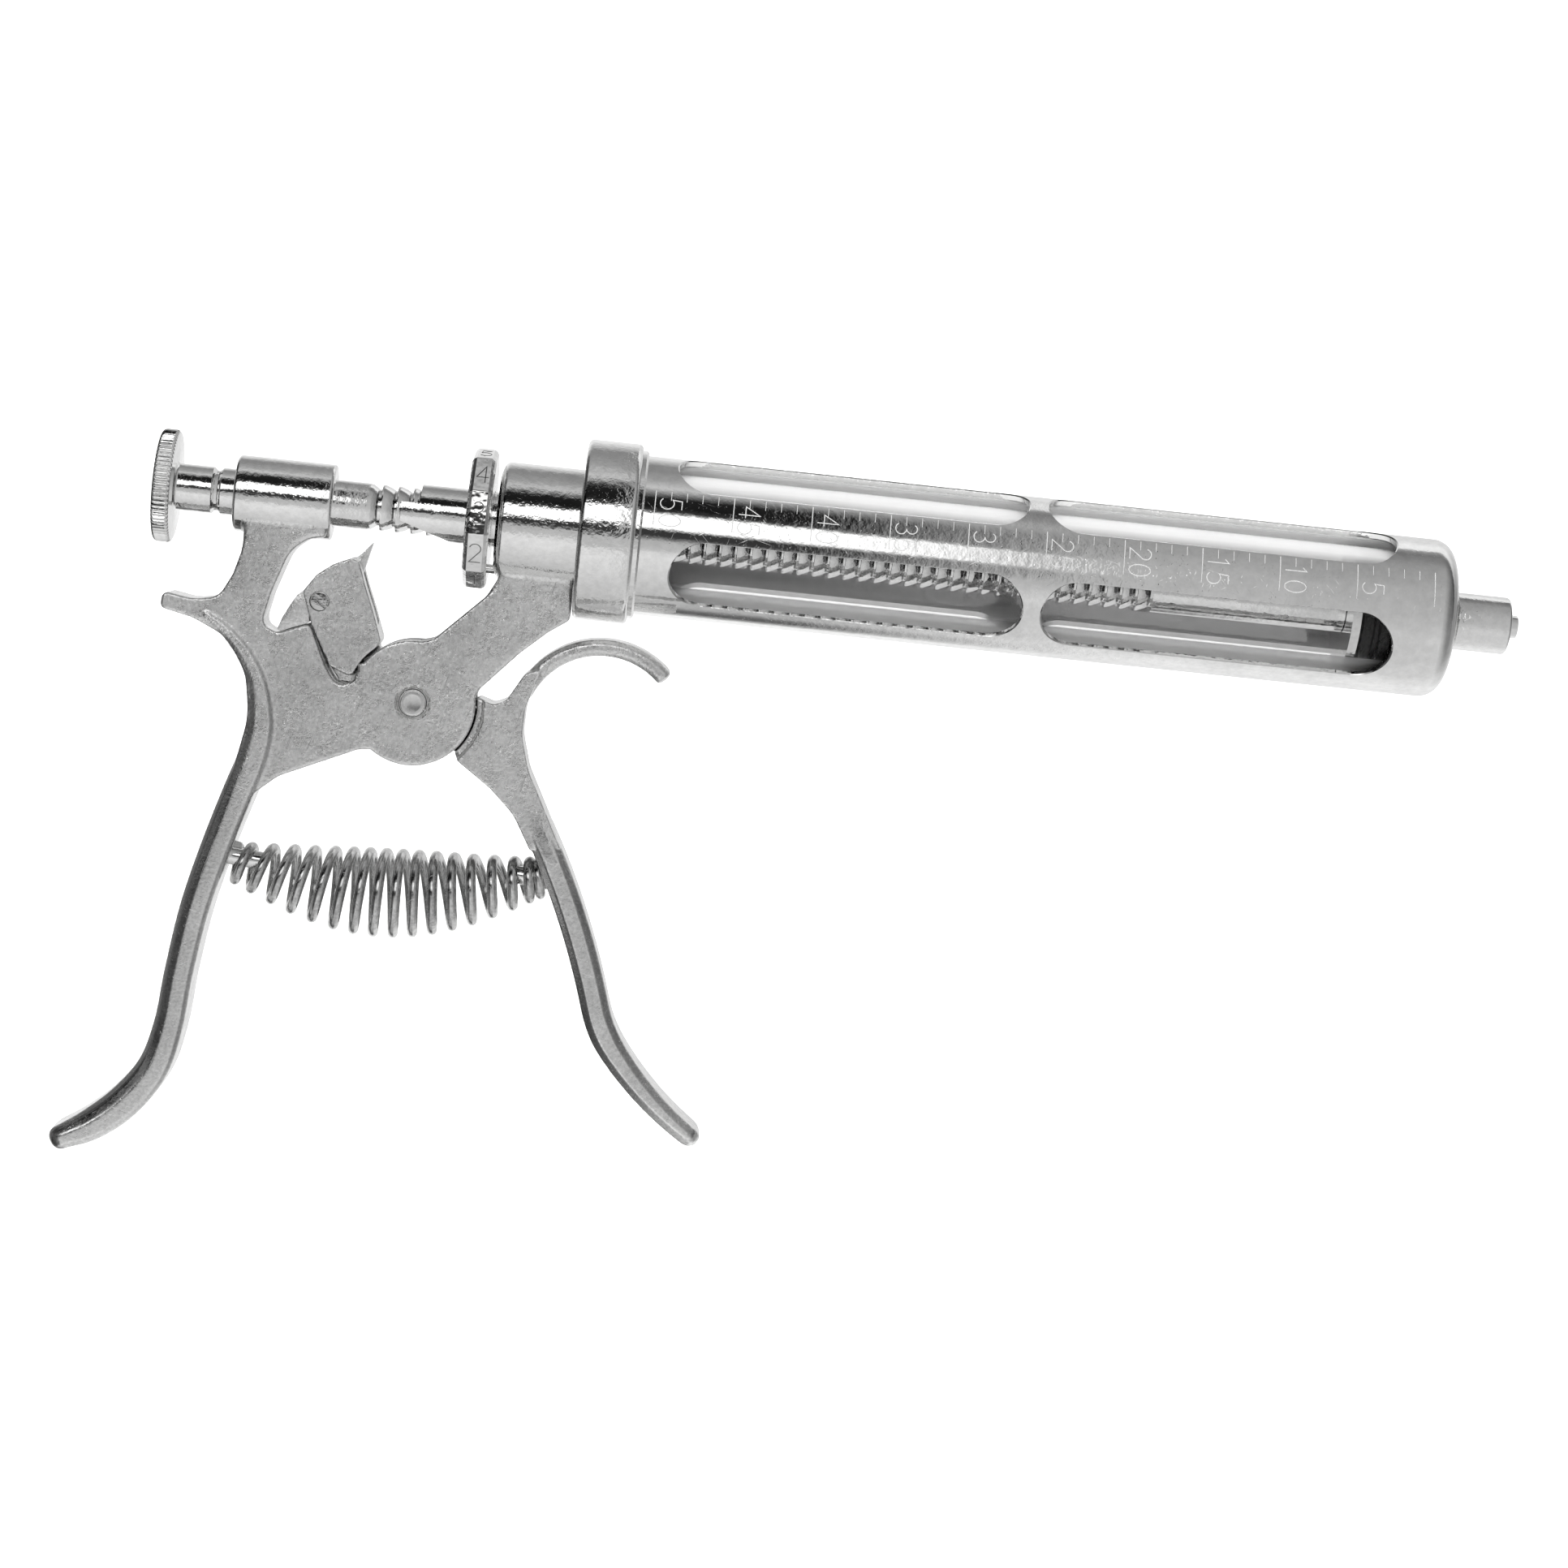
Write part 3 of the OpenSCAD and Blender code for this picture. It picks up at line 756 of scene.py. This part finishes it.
class Marks:
    """Thin beads for lines and numbers, laid on a surface by place(u, v, lift)."""

    def __init__(self, place):
        self.v, self.f, self.place = [], [], place

    def line(self, points, half):
        """A low rounded bead along the points, split so that it follows a curved surface."""
        fine = [points[0]]
        for a, b in zip(points[:-1], points[1:]):
            n = max(1, int(math.hypot(b[0] - a[0], b[1] - a[1]) / 0.5))
            fine += [(a[0] + (b[0] - a[0]) * k / n, a[1] + (b[1] - a[1]) * k / n) for k in range(1, n + 1)]
        (l1, r1), (l2, r2) = (ribbon(fine, half * w) for w in (1.0, 0.45))
        o = len(self.v)
        for k in range(len(fine)):
            for q, lift in ((l1[k], -0.05), (l2[k], 0.045), (r2[k], 0.045), (r1[k], -0.05)):
                self.v.append(self.place(q.x, q.y, lift))
        for i in range(len(fine) - 1):
            p, q = o + 4 * i, o + 4 * (i + 1)
            for k in range(4):
                l = (k + 1) % 4
                self.f.append((p + k, p + l, q + l, q + k))
        self.f.append((o, o + 1, o + 2, o + 3))
        e = o + 4 * (len(fine) - 1)
        self.f.append((e + 3, e + 2, e + 1, e))

    def lying(self, ch, u, v, h, half):
        """A digit whose up is +u and whose right is -v, with its lower left at (u, v)."""
        for stroke in DIGITS[ch]:
            self.line([(u + b * h, v - a * h) for a, b in stroke], half)

    def upright(self, ch, u, v, h, half):
        """A digit whose up is +v and whose right is +u, with its lower left at (u, v)."""
        for stroke in DIGITS[ch]:
            self.line([(u + a * h, v + b * h) for a, b in stroke], half)

    def build(self, name):
        ob = new_object(name, self.v, self.f)
        fix_normals(ob, merge=False)
        return ob


def on_sleeve(u, v, lift):
    """u along X, v the arc length upward from the near side."""
    g = v / SLEEVE_R
    r = SLEEVE_R + lift
    return (u, -r * math.cos(g), r * math.sin(g))


def scale_marks():
    """A line for each millilitre, and a longer line and a number for every fifth."""
    marks = Marks(on_sleeve)
    zero_x = -15.6
    top = SLEEVE_R * rad(36.0)
    for ml in range(0, FULL_ML + 1):
        x = zero_x - ml * ML
        length, half = (6.2, 0.11) if ml % 5 == 0 else (1.7, 0.075)
        marks.line([(x, top), (x, top - length)], half)
    for ml in range(5, FULL_ML + 1, 5):
        text = str(ml)
        v = top - 1.2 if len(text) == 2 else top - 3.0
        for ch in text:
            marks.lying(ch, zero_x - ml * ML + 0.75, v, 3.9, 0.125)
            v -= 2.9
    finish(marks.build("scale_marks"), "frame", "bright_plate", FROSTED)


# ---------------------------------------------------------------- dose wheel


def facet_ring(x, inset):
    """The ten-sided outline at x, with each side moved in by inset."""
    r = WHEEL_R * (FLAT_R - inset) / FLAT_R
    pts = [(-r * math.cos(rad(a)), r * math.sin(rad(a)), 0.45) for a in CORNERS]
    return [(x, p[0], p[1]) for p in rounded(pts, 5)]


def circle_ring(x, r, like):
    """A circle at x with as many points as another ring."""
    return [(x, r * p[1] / math.hypot(p[1], p[2]), r * p[2] / math.hypot(p[1], p[2])) for p in like]


def dose_wheel():
    # bevelled rim from the rear face to the front face, then the bore and the recess of the rear face
    t = WHEEL_T
    rim = [(0.0, 0.75), (0.28, 0.28), (0.75, 0.0), (t - 0.75, 0.0), (t - 0.28, 0.28), (t, 0.75)]
    hub = [(t, 5.2), (t - 0.3, WHEEL_BORE), (1.2, WHEEL_BORE), (1.0, 6.1), (0.15, 6.1), (0.0, 6.3)]
    rings = [facet_ring(WHEEL_X + x, inset) for x, inset in rim]
    rings += [circle_ring(WHEEL_X + x, r, rings[0]) for x, r in hub]
    n, m = len(rings[0]), len(rings)
    f = []
    for i in range(m):
        j = (i + 1) % m
        f += [(i * n + k, i * n + (k + 1) % n, j * n + (k + 1) % n, j * n + k) for k in range(n)]
    wheel = new_object("dose_wheel_cut", [p for r in rings for p in r], f)
    fix_normals(wheel)
    finish(shade(wheel, 24), "dose_wheel", "bright_plate", WHEEL, "dose_wheel")


def wheel_numbers():
    """The numbers 1 to 5, twice round, one on each side, dark with painted shade of engraved grooves."""
    marks = Marks(None)
    for k, corner in enumerate(CORNERS):
        mid = rad(corner + 18)

        def on_side(u, v, lift):
            q = FLAT_R + lift
            return (u, -q * math.cos(mid) + v * math.sin(mid), q * math.sin(mid) + v * math.cos(mid))

        marks.place = on_side
        marks.upright(str(k % 5 + 1), WHEEL_X + 0.95, -1.9, 3.8, 0.13)
    finish(marks.build("wheel_numbers"), "dose_wheel", "bright_plate", ENGRAVED_SHADE)


# ---------------------------------------------------------------- piston rod and knob


def rack_rod():
    """The rod with a rack tooth all round for each millilitre, steep at the rear of each tooth."""
    points = [
        (-222.1, 0), (-222.1, 3.35), (-221.95, 3.65), (-221.5, ROD_R), (-196.6, ROD_R), (-195.9, 3.85),
        (-194.9, 3.15),
    ]
    tooth = [(-0.02, ROOT_R), (0, 3.9), (0.08, ROD_R), (0.42, ROD_R), (ML * 0.62, 3.55), (ML - 0.3, ROOT_R)]
    for k in range(FULL_ML):
        points += [(-194.4 + k * ML + x, r) for x, r in tooth]
    points += [(-61.9, ROOT_R), (-61.8, 3.95), (-61.6, ROD_R), (-28.6, ROD_R), (-28.6, 0)]
    finish(shade(lathe("rack_rod", points, 96), 24), "rod", "bright_plate", CHROME, "piston_rod")


def knurl(g, x, r):
    """Straight ridges on the rim of the knob."""
    if r < 9.0:
        return r
    depth = 0.42 * (r - 9.0) / 0.6
    return r - depth * (0.5 - 0.5 * math.cos(g * RIDGES)) ** 0.8


def knob():
    corners = [
        (-232.4, 0, 0), (-232.4, 9.6, 0.75), (-229.35, 9.6, 0.75), (-229.35, ROD_R, 0.5),
        (-223.1, ROD_R, 0.1), (-222.65, 3.5, 0.1), (-222.15, 3.4, 0), (-222.15, 0, 0),
    ]
    ob = lathe("knob_knurled", rounded(corners, 6), RIDGES * 8, False, knurl)
    finish(shade(ob, 40), "rod", "bright_plate", CHROME, "rod_knob")


def needle_collar():
    corners = [
        (-11.3, 1.5, 0), (-11.3, 4.3, 0.1), (-9.6, 4.3, 0.25), (-9.3, 4.93, 0.2), (0, 4.93, 0.55),
        (0, 3.9, 0.2), (-6.5, 3.9, 0.3), (-6.5, 1.5, 0),
    ]
    ob = turned("needle_collar_turned", corners, 160, True)
    finish(shade(ob, 35), "frame", "bright_plate", CHROME, "needle_collar")


# ---------------------------------------------------------------- trigger lever

TRIGGER_BODY = [
    (-177.2, -41.4, 0.5), (-179.5, -36, 0), (-179.5, -30.6, 0), (-174.4, -30.3, 0.5), (-172.0, -31.2, 1.6),
    (-169.9, -30.2, 1.8), (-167.0, -25.0, 4), (-164.6, -24.6, 0), (-165.2, -27.0, 3), (-166.5, -31.0, 6),
    (-166.6, -36.0, 8), (-165.0, -41.6, 10), (-158.2, -54.5, 0), (-163.4, -55.4, 0), (-166.8, -49.6, 10),
    (-171.2, -45.5, 10),
]
# the block that carries the pawl
CARRIER = [
    (-206.0, -15.3, 0.4), (-203.9, -12.2, 2), (-201.3, -10.2, 3), (-198.2, -8.8, 0.9), (-196.9, -9.4, 0.7),
    (-195.5, -13.3, 0), (-193.8, -17.4, 0), (-192.0, -22.3, 0.9), (-193.4, -24.6, 0), (-196.2, -28.4, 0.8),
    (-197.2, -28.6, 0.6), (-200.3, -27.4, 1.0), (-204.1, -20.6, 0.5),
]
TONGUE_FRONT = [(-173.0, -32.4), (-186, -32.4), (-186, -36), (-178.2, -40.0), (-173, -39.5)]
TONGUE_REAR = [
    (-186, -29), (-193, -22.8), (-200.0, -22.0), (-203.1, -21.8), (-200.6, -27.4), (-198.6, -30.0),
    (-196.0, -30.4), (-192, -34),
]
PAWL_SLOT = [
    (-208, -22), (-208, -6), (-190, -6), (-191.5, -18.4), (-196, -22.2), (-200.5, -22.2), (-203.5, -23),
]


def bevel_section(t, c, t0=None):
    """A bar with bevels c, from thickness t0 at its start to t."""

    def section(w, s):
        a, b = w / 2, (t if t0 is None else t0 + (t - t0) * min(1.0, s * 5)) / 2
        half = [(-a, 0.0), (-a, b - c), (-a + c, b), (a - c, b), (a, b - c), (a, 0.0)]
        return half + [(u, -v) for u, v in reversed(half[1:-1])]

    return section


def clear_of_cheeks(name, outline, t, gap, reach=None):
    """A prism cut back to a gap outside the cheeks, and with reach also to that radius about the pivot."""
    ob = prism(name, outline, t)
    boolean(ob, across(PX, PZ, CHEEK + gap, 16, 160))
    if reach:
        boolean(ob, across(PX, PZ, reach, 16, 160), "INTERSECT")
    return ob


def finger_hook():
    path = [(x, z, h, 2.85) for x, z, h in arc_points((-167, -28.7), 68.3, [(-14.4, 111.7)], 1.0)]
    return sweep("hook", path, bevel_section(9.4, 0.75), round_end=0.7)


def front_grip():
    """The lever below the hook, which narrows over its last third."""
    line = arc_points((-162.15, -52), -60.4, [(-143.2, 12.8), (22.4, 20.95), (60.3, 18.5)], 1.5)
    path = [(-166.2, -44.4, -61.0, 2.6), (-164.4, -47.8, -62.0, 4.0)]
    path += [(x, z, h, 4.9 - 4.0 * max(0.0, k / len(line) - 0.62)) for k, (x, z, h) in enumerate(line)]
    return sweep("front_grip", path, bevel_section(11.0, 1.25, 9.2), round_end=2.4)


def trigger_casting():
    body = rounded(TRIGGER_BODY)
    trigger = clear_of_cheeks("trigger_casting", body, BODY_T, 1.5)
    for p in (
        clear_of_cheeks("shoulder", body, 8.8, 0.28, 12.8),
        clear_of_cheeks("carrier", rounded(CARRIER), BODY_T, 0.5),
        prism("tongue", disc(PX, PZ, CHEEK - 0.3, 128), TONGUE_T),
        prism("tongue_front", TONGUE_FRONT, TONGUE_T),
        prism("tongue_rear", TONGUE_REAR, TONGUE_T),
        finger_hook(),
        front_grip(),
    ):
        boolean(trigger, p, "UNION")
    boolean(trigger, across(PX, PZ, 2.34, THROUGH))
    boolean(trigger, prism("pawl_slot", PAWL_SLOT, 3.2))
    remesh(trigger, 0.25, 5)
    boolean(trigger, across(SX, SZ, 1.72, 16))
    finish(shade(trigger, 50), "trigger", "cast_nickel", CAST, "trigger")


def pawl_screw():
    corners = [(-4.4, 0, 0), (-4.4, 1.66, 0.2), (4.4, 1.66, 0.2), (4.4, 0, 0)]
    screw = turned("pawl_screw_slotted", corners, 96)
    slot = new_object(
        "slot",
        [(x, y, z) for x in (-5.4, -3.4) for y in (-3, 3) for z in (-0.42, 0.42)],
        [(0, 1, 3, 2), (4, 6, 7, 5), (0, 4, 5, 1), (2, 3, 7, 6), (0, 2, 6, 4), (1, 5, 7, 3)],
    )
    fix_normals(slot)
    slot.data.transform(Matrix.Rotation(rad(40), 4, "X"))
    boolean(screw, slot)
    lay_across(screw, SX, 0, SZ)
    finish(shade(screw, 35), "trigger", "bright_plate", CHROME, "pawl_screw")


# ---------------------------------------------------------------- pawl

BLADE = [
    (-206.4, -16.5, 1), (-204.2, -13.2, 1), (-201.4, -11, 1), (-198.6, -9.5, 2), (-196.8, -7.95, 2),
    (-195.1, -5.9, 0.05), (-196.6, -12.2, 0.3), (-198.5, -17, 1), (-201, -19.4, 1), (-205, -20.6, 0.5),
]
TAIL = [
    (-205.3, -14.6, 0.5), (-206.8, -15.9, 1), (-207.8, -17.6, 2), (-209.0, -20.0, 1), (-209.8, -22.35, 0.5),
    (-208.8, -22.3, 0.5), (-206.9, -21.45, 1.5), (-204.4, -20.45, 0.5),
]
# the slanted rear edge of the block, in front of which the thick tail stops
BLOCK_EDGE = [(-206.05, -14.0), (-204.25, -20.3), (-203.6, -24), (-198, -24), (-198, -10)]


def pawl():
    """A thin blade with its spike, and a thick tail behind the block."""
    tail = prism("tail", rounded(TAIL), 9.2)
    boolean(tail, prism("block_edge", BLOCK_EDGE, 12))
    ob = prism("pawl_spiked", rounded(BLADE), 2.6)
    boolean(ob, tail, "UNION")
    boolean(ob, across(SX, SZ, 1.69, 20))
    bv = ob.modifiers.new("b", "BEVEL")
    bv.width = 0.16
    bv.segments = 2
    bv.limit_method = "ANGLE"
    bv.angle_limit = rad(35)
    apply_modifiers(ob)
    finish(shade(ob, 30), "pawl", "cast_nickel", CAST, "pawl")


# ---------------------------------------------------------------- main spring

# X of the lowest point of each coil, from the rear grip to the front one
COILS = [
    -213.9, -211.7, -208.0, -204.4, -200.9, -197.2, -193.8, -190.7, -187.6, -184.5, -181.5, -178.3, -175.1,
    -171.8, -168.3, -164.9, -162.4, -161.1,
]
WIRE_R = 0.9
STEPS = 1190  # along the wire
RING = 12  # points round the wire


def spring_line():
    """Points along the wire, and along the sagging middle line of the coils."""
    turns = len(COILS) - 1.0
    t = np.linspace(0, turns, STEPS)
    x = np.interp(t, range(len(COILS)), COILS)
    inner = np.minimum(t, turns - t) > 0.3
    for _ in range(3):
        x = np.where(inner, np.convolve(x, np.ones(31) / 31, "same"), x)
    s = (x - x[0]) / (x[-1] - x[0])
    z = -62.9 + 2.6 * s - 4.1 * np.sin(np.pi * s)
    r = 2.75 + 4.15 * np.sin(np.pi * np.clip(s, 0, 1)) ** 1.05
    a = 2 * np.pi * (t + 0.5)
    slope = np.gradient(z, x)
    length = np.sqrt(1 + slope**2)
    wire = np.stack([x + r * np.cos(a) * slope / length, -r * np.sin(a), z - r * np.cos(a) / length], 1)
    return wire, np.stack([x, np.zeros(STEPS), z], 1)


def main_spring():
    """The barrel-shaped coil between the two grips."""
    line, middle = spring_line()
    along = np.gradient(line, axis=0)
    along /= np.linalg.norm(along, axis=1)[:, None]
    v, f = [], []
    for i in range(STEPS):
        out = line[i] - middle[i]
        out = out - along[i] * out.dot(along[i])
        out /= np.linalg.norm(out)
        side = np.cross(along[i], out)
        w = WIRE_R * (1.0 if 3 < i < STEPS - 4 else 0.9)
        for k in range(RING):
            g = 2 * math.pi * k / RING
            v.append(line[i] + w * (math.cos(g) * out + math.sin(g) * side))
    for i in range(STEPS - 1):
        for k in range(RING):
            l = (k + 1) % RING
            f.append((i * RING + k, i * RING + l, (i + 1) * RING + l, (i + 1) * RING + k))
    f.append(tuple(range(RING)))
    f.append(tuple(range(STEPS * RING - 1, (STEPS - 1) * RING - 1, -1)))
    spring = new_object("main_spring_coil", v, f)
    fix_normals(spring)
    return finish(shade(spring, 60), None, "spring_steel", WIRE, "main_spring")


def follow_the_joints(spring):
    """Gives the detent spring its own copy of its mesh, and bakes the main spring's placement into its
    points.
    """
    detent_spring = NODES["detent_spring"]
    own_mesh(detent_spring)
    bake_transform(spring)


# ---------------------------------------------------------------- finishes of the CAD nodes that stay

LOOK = {
    "lock_ring": CHROME, "guide_tube": CHROME, "wheel_ring": WIRE, "detent_pin": CHROME,
    "detent_spring": WIRE, "needle_cone": CHROME, "rear_stud": CHROME, "front_stud": CHROME,
    "pawl_spring": WIRE,
    "glass_cylinder": GLASS, "rear_gasket": RUBBER, "front_gasket": RUBBER, "piston_rear_plate": CHROME,
    "piston_rear_seal": RUBBER, "piston_spacer": DARK, "piston_front_seal": RUBBER,
    "piston_front_plate": CHROME, "piston_nut": CHROME,
}


def dress_cad_nodes():
    for name, mat in LOOK.items():
        ob = NODES[name]
        if ob.material_slots:
            for s in ob.material_slots:
                s.link = "OBJECT"
                s.material = mat
        else:
            ob.data.materials.append(mat)


# ---------------------------------------------------------------- floor, light and camera, in metres


def floor():
    """A pale sweep: flat under the tool, and curving up behind it."""
    prof = [(-9.0, 0.0), (1.6, 0.0)]
    prof += [(1.6 + 0.8 * math.sin(rad(a)), 0.8 - 0.8 * math.cos(rad(a))) for a in range(6, 91, 6)]
    prof += [(2.4, 3.0)]
    v = [(x, y, z - 0.17) for y, z in prof for x in (-6, 6)]
    ob = new_object("floor", v, [(2 * i, 2 * i + 1, 2 * i + 3, 2 * i + 2) for i in range(len(prof) - 1)])
    shade(ob)
    mat = bpy.data.materials.new("pale_floor")
    b = nodes_of(mat)[1]
    b.inputs["Base Color"].default_value = (0.92, 0.92, 0.92, 1)
    b.inputs["Roughness"].default_value = 0.9
    b.inputs["Specular IOR Level"].default_value = 0.1
    ob.data.materials.append(mat)
    ob.visible_glossy = False


# brightness of the studio round the barrel axis: degrees above the near horizon, and display value
STRIPS = [
    (-180, 0.92), (-146, 0.95), (-138, 0.62), (-131, 0.36), (-124, 0.40), (-114, 0.66), (-65, 0.78),
    (-41, 0.84), (-29, 0.86), (-22, 0.82), (-17, 0.72), (-5, 0.68), (-1, 0.46), (3, 0.22), (10, 0.22),
    (13, 0.70), (15, 1.12), (34, 1.12), (36, 0.62), (39, 0.22), (45, 0.12), (59, 0.14), (65, 0.40),
    (70, 0.58), (76, 0.74), (91, 0.60), (112, 0.52), (125, 0.52), (139, 0.74), (151, 0.87), (180, 0.92),
]
# the same towards the needle end, where the studio is plainer
PLAIN = [
    (-180, 0.84), (-161, 0.88), (-130, 0.90), (-112, 0.86), (-95, 0.80), (-65, 0.77), (-29, 0.77), (-8, 0.70),
    (12, 0.68), (35, 0.66), (60, 0.60), (80, 0.57), (95, 0.48), (104, 0.44), (111, 0.56), (116, 0.90),
    (126, 0.92), (139, 0.84), (160, 0.82), (180, 0.84),
]
# and from the left side of the studio, at X = -1, to the right
SIDES = [
    (-1.0, 0.42), (-0.86, 0.36), (-0.62, 0.50), (-0.40, 1.0), (0.45, 1.0), (0.70, 0.86), (0.88, 0.66),
    (1.0, 0.62),
]


def strips(nt, src, lo, hi, table):
    """A colour ramp from (position, display value) pairs."""
    unit = ramp(nt, src, lo, hi, 0.0, 1.0)
    node = nt.nodes.new("ShaderNodeValToRGB")
    nt.links.new(unit, node.inputs[0])
    els = node.color_ramp.elements
    while len(els) > 1:
        els.remove(els[-1])
    for k, (pos, val) in enumerate(table):
        q = (pos - table[0][0]) / (table[-1][0] - table[0][0])
        e = els[0] if k == 0 else els.new(q)
        e.position = q
        e.color = (val**2.2, val**2.2, val**2.2, 1)
    return node.outputs[0]


def mix_colours(nt, kind, factor, a, b):
    mix = nt.nodes.new("ShaderNodeMix")
    mix.data_type = "RGBA"
    mix.blend_type = kind
    if isinstance(factor, float):
        mix.inputs["Factor"].default_value = factor
    else:
        nt.links.new(factor, mix.inputs["Factor"])
    nt.links.new(a, mix.inputs["A"])
    nt.links.new(b, mix.inputs["B"])
    return mix.outputs["Result"]


def studio():
    """Soft strips of light round the barrel axis, which the plating reflects."""
    world = bpy.data.worlds.new("studio")
    scene.world = world
    world.use_nodes = True
    nt = world.node_tree
    nt.nodes.clear()
    out = nt.nodes.new("ShaderNodeOutputWorld")
    bg = nt.nodes.new("ShaderNodeBackground")
    nt.links.new(bg.outputs[0], out.inputs[0])
    tc = nt.nodes.new("ShaderNodeTexCoord")
    way = nt.nodes.new("ShaderNodeSeparateXYZ")
    nt.links.new(tc.outputs["Generated"], way.inputs[0])
    near = math_node(nt, "MULTIPLY", way.outputs["Y"], -1.0)
    angle = math_node(nt, "ARCTAN2", way.outputs["Z"], near)
    busy, plain = (strips(nt, angle, -math.pi, math.pi, table) for table in (STRIPS, PLAIN))
    forward = ramp(nt, way.outputs["X"], 0.035, 0.12, 0.0, 1.0)
    band = mix_colours(nt, "MIX", forward, busy, plain)
    side = strips(nt, way.outputs["X"], -1.0, 1.0, SIDES)
    nt.links.new(mix_colours(nt, "MULTIPLY", 1.0, band, side), bg.inputs[0])
    bg.inputs[1].default_value = 1.15


def area(name, loc, target, size, size_y, power):
    """A soft lamp for floor and wall, which the plating doesn't reflect."""
    ld = bpy.data.lights.new(name, "AREA")
    ld.shape = "RECTANGLE"
    ld.size, ld.size_y, ld.energy = size, size_y, power
    ob = bpy.data.objects.new(name, ld)
    scene.collection.objects.link(ob)
    ob.location = loc
    ob.rotation_euler = (Vector(target) - Vector(loc)).to_track_quat("-Z", "Y").to_euler()
    ob.visible_glossy = False


def camera():
    """A view from 644 mm away, nearly side on, rolled so that the barrel runs down to the right."""
    down, turn, roll = rad(5.0), rad(2.3), rad(6.07)
    distance = 0.64418
    aim = Vector((-0.12114, 0, -0.03998))
    fwd = Vector((math.sin(turn) * math.cos(down), math.cos(turn) * math.cos(down), -math.sin(down)))
    level = Vector((math.cos(turn), -math.sin(turn), 0.0))
    up = level.cross(fwd)
    right = level * math.cos(roll) + up * math.sin(roll)
    top = -level * math.sin(roll) + up * math.cos(roll)
    cam = bpy.data.cameras.new("camera")
    cam.sensor_width = 36.0
    cam.lens = 85.86
    cam.clip_start = 0.01
    ob = bpy.data.objects.new("camera", cam)
    m = Matrix((right, top, -fwd)).transposed().to_4x4()
    m.translation = aim - fwd * distance
    ob.matrix_world = m
    scene.collection.objects.link(ob)
    scene.camera = ob


# ---------------------------------------------------------------- build

frame_casting()
rear_boss()
head_and_collar()
pivot_pin()
sleeve()
scale_marks()
dose_wheel()
wheel_numbers()
rack_rod()
knob()
needle_collar()
trigger_casting()
pawl_screw()
pawl()
follow_the_joints(main_spring())
dress_cad_nodes()
floor()
studio()
area("floor_wash", (-0.12, 0.9, 2.6), (-0.12, 0.8, -0.12), 4.5, 4.5, 100)
area("wall_wash", (-0.12, 0.2, 2.0), (-0.12, 3.0, 0.5), 4.5, 1.5, 95)
camera()
scene.view_settings.view_transform = "Standard"
scene.view_settings.look = "None"
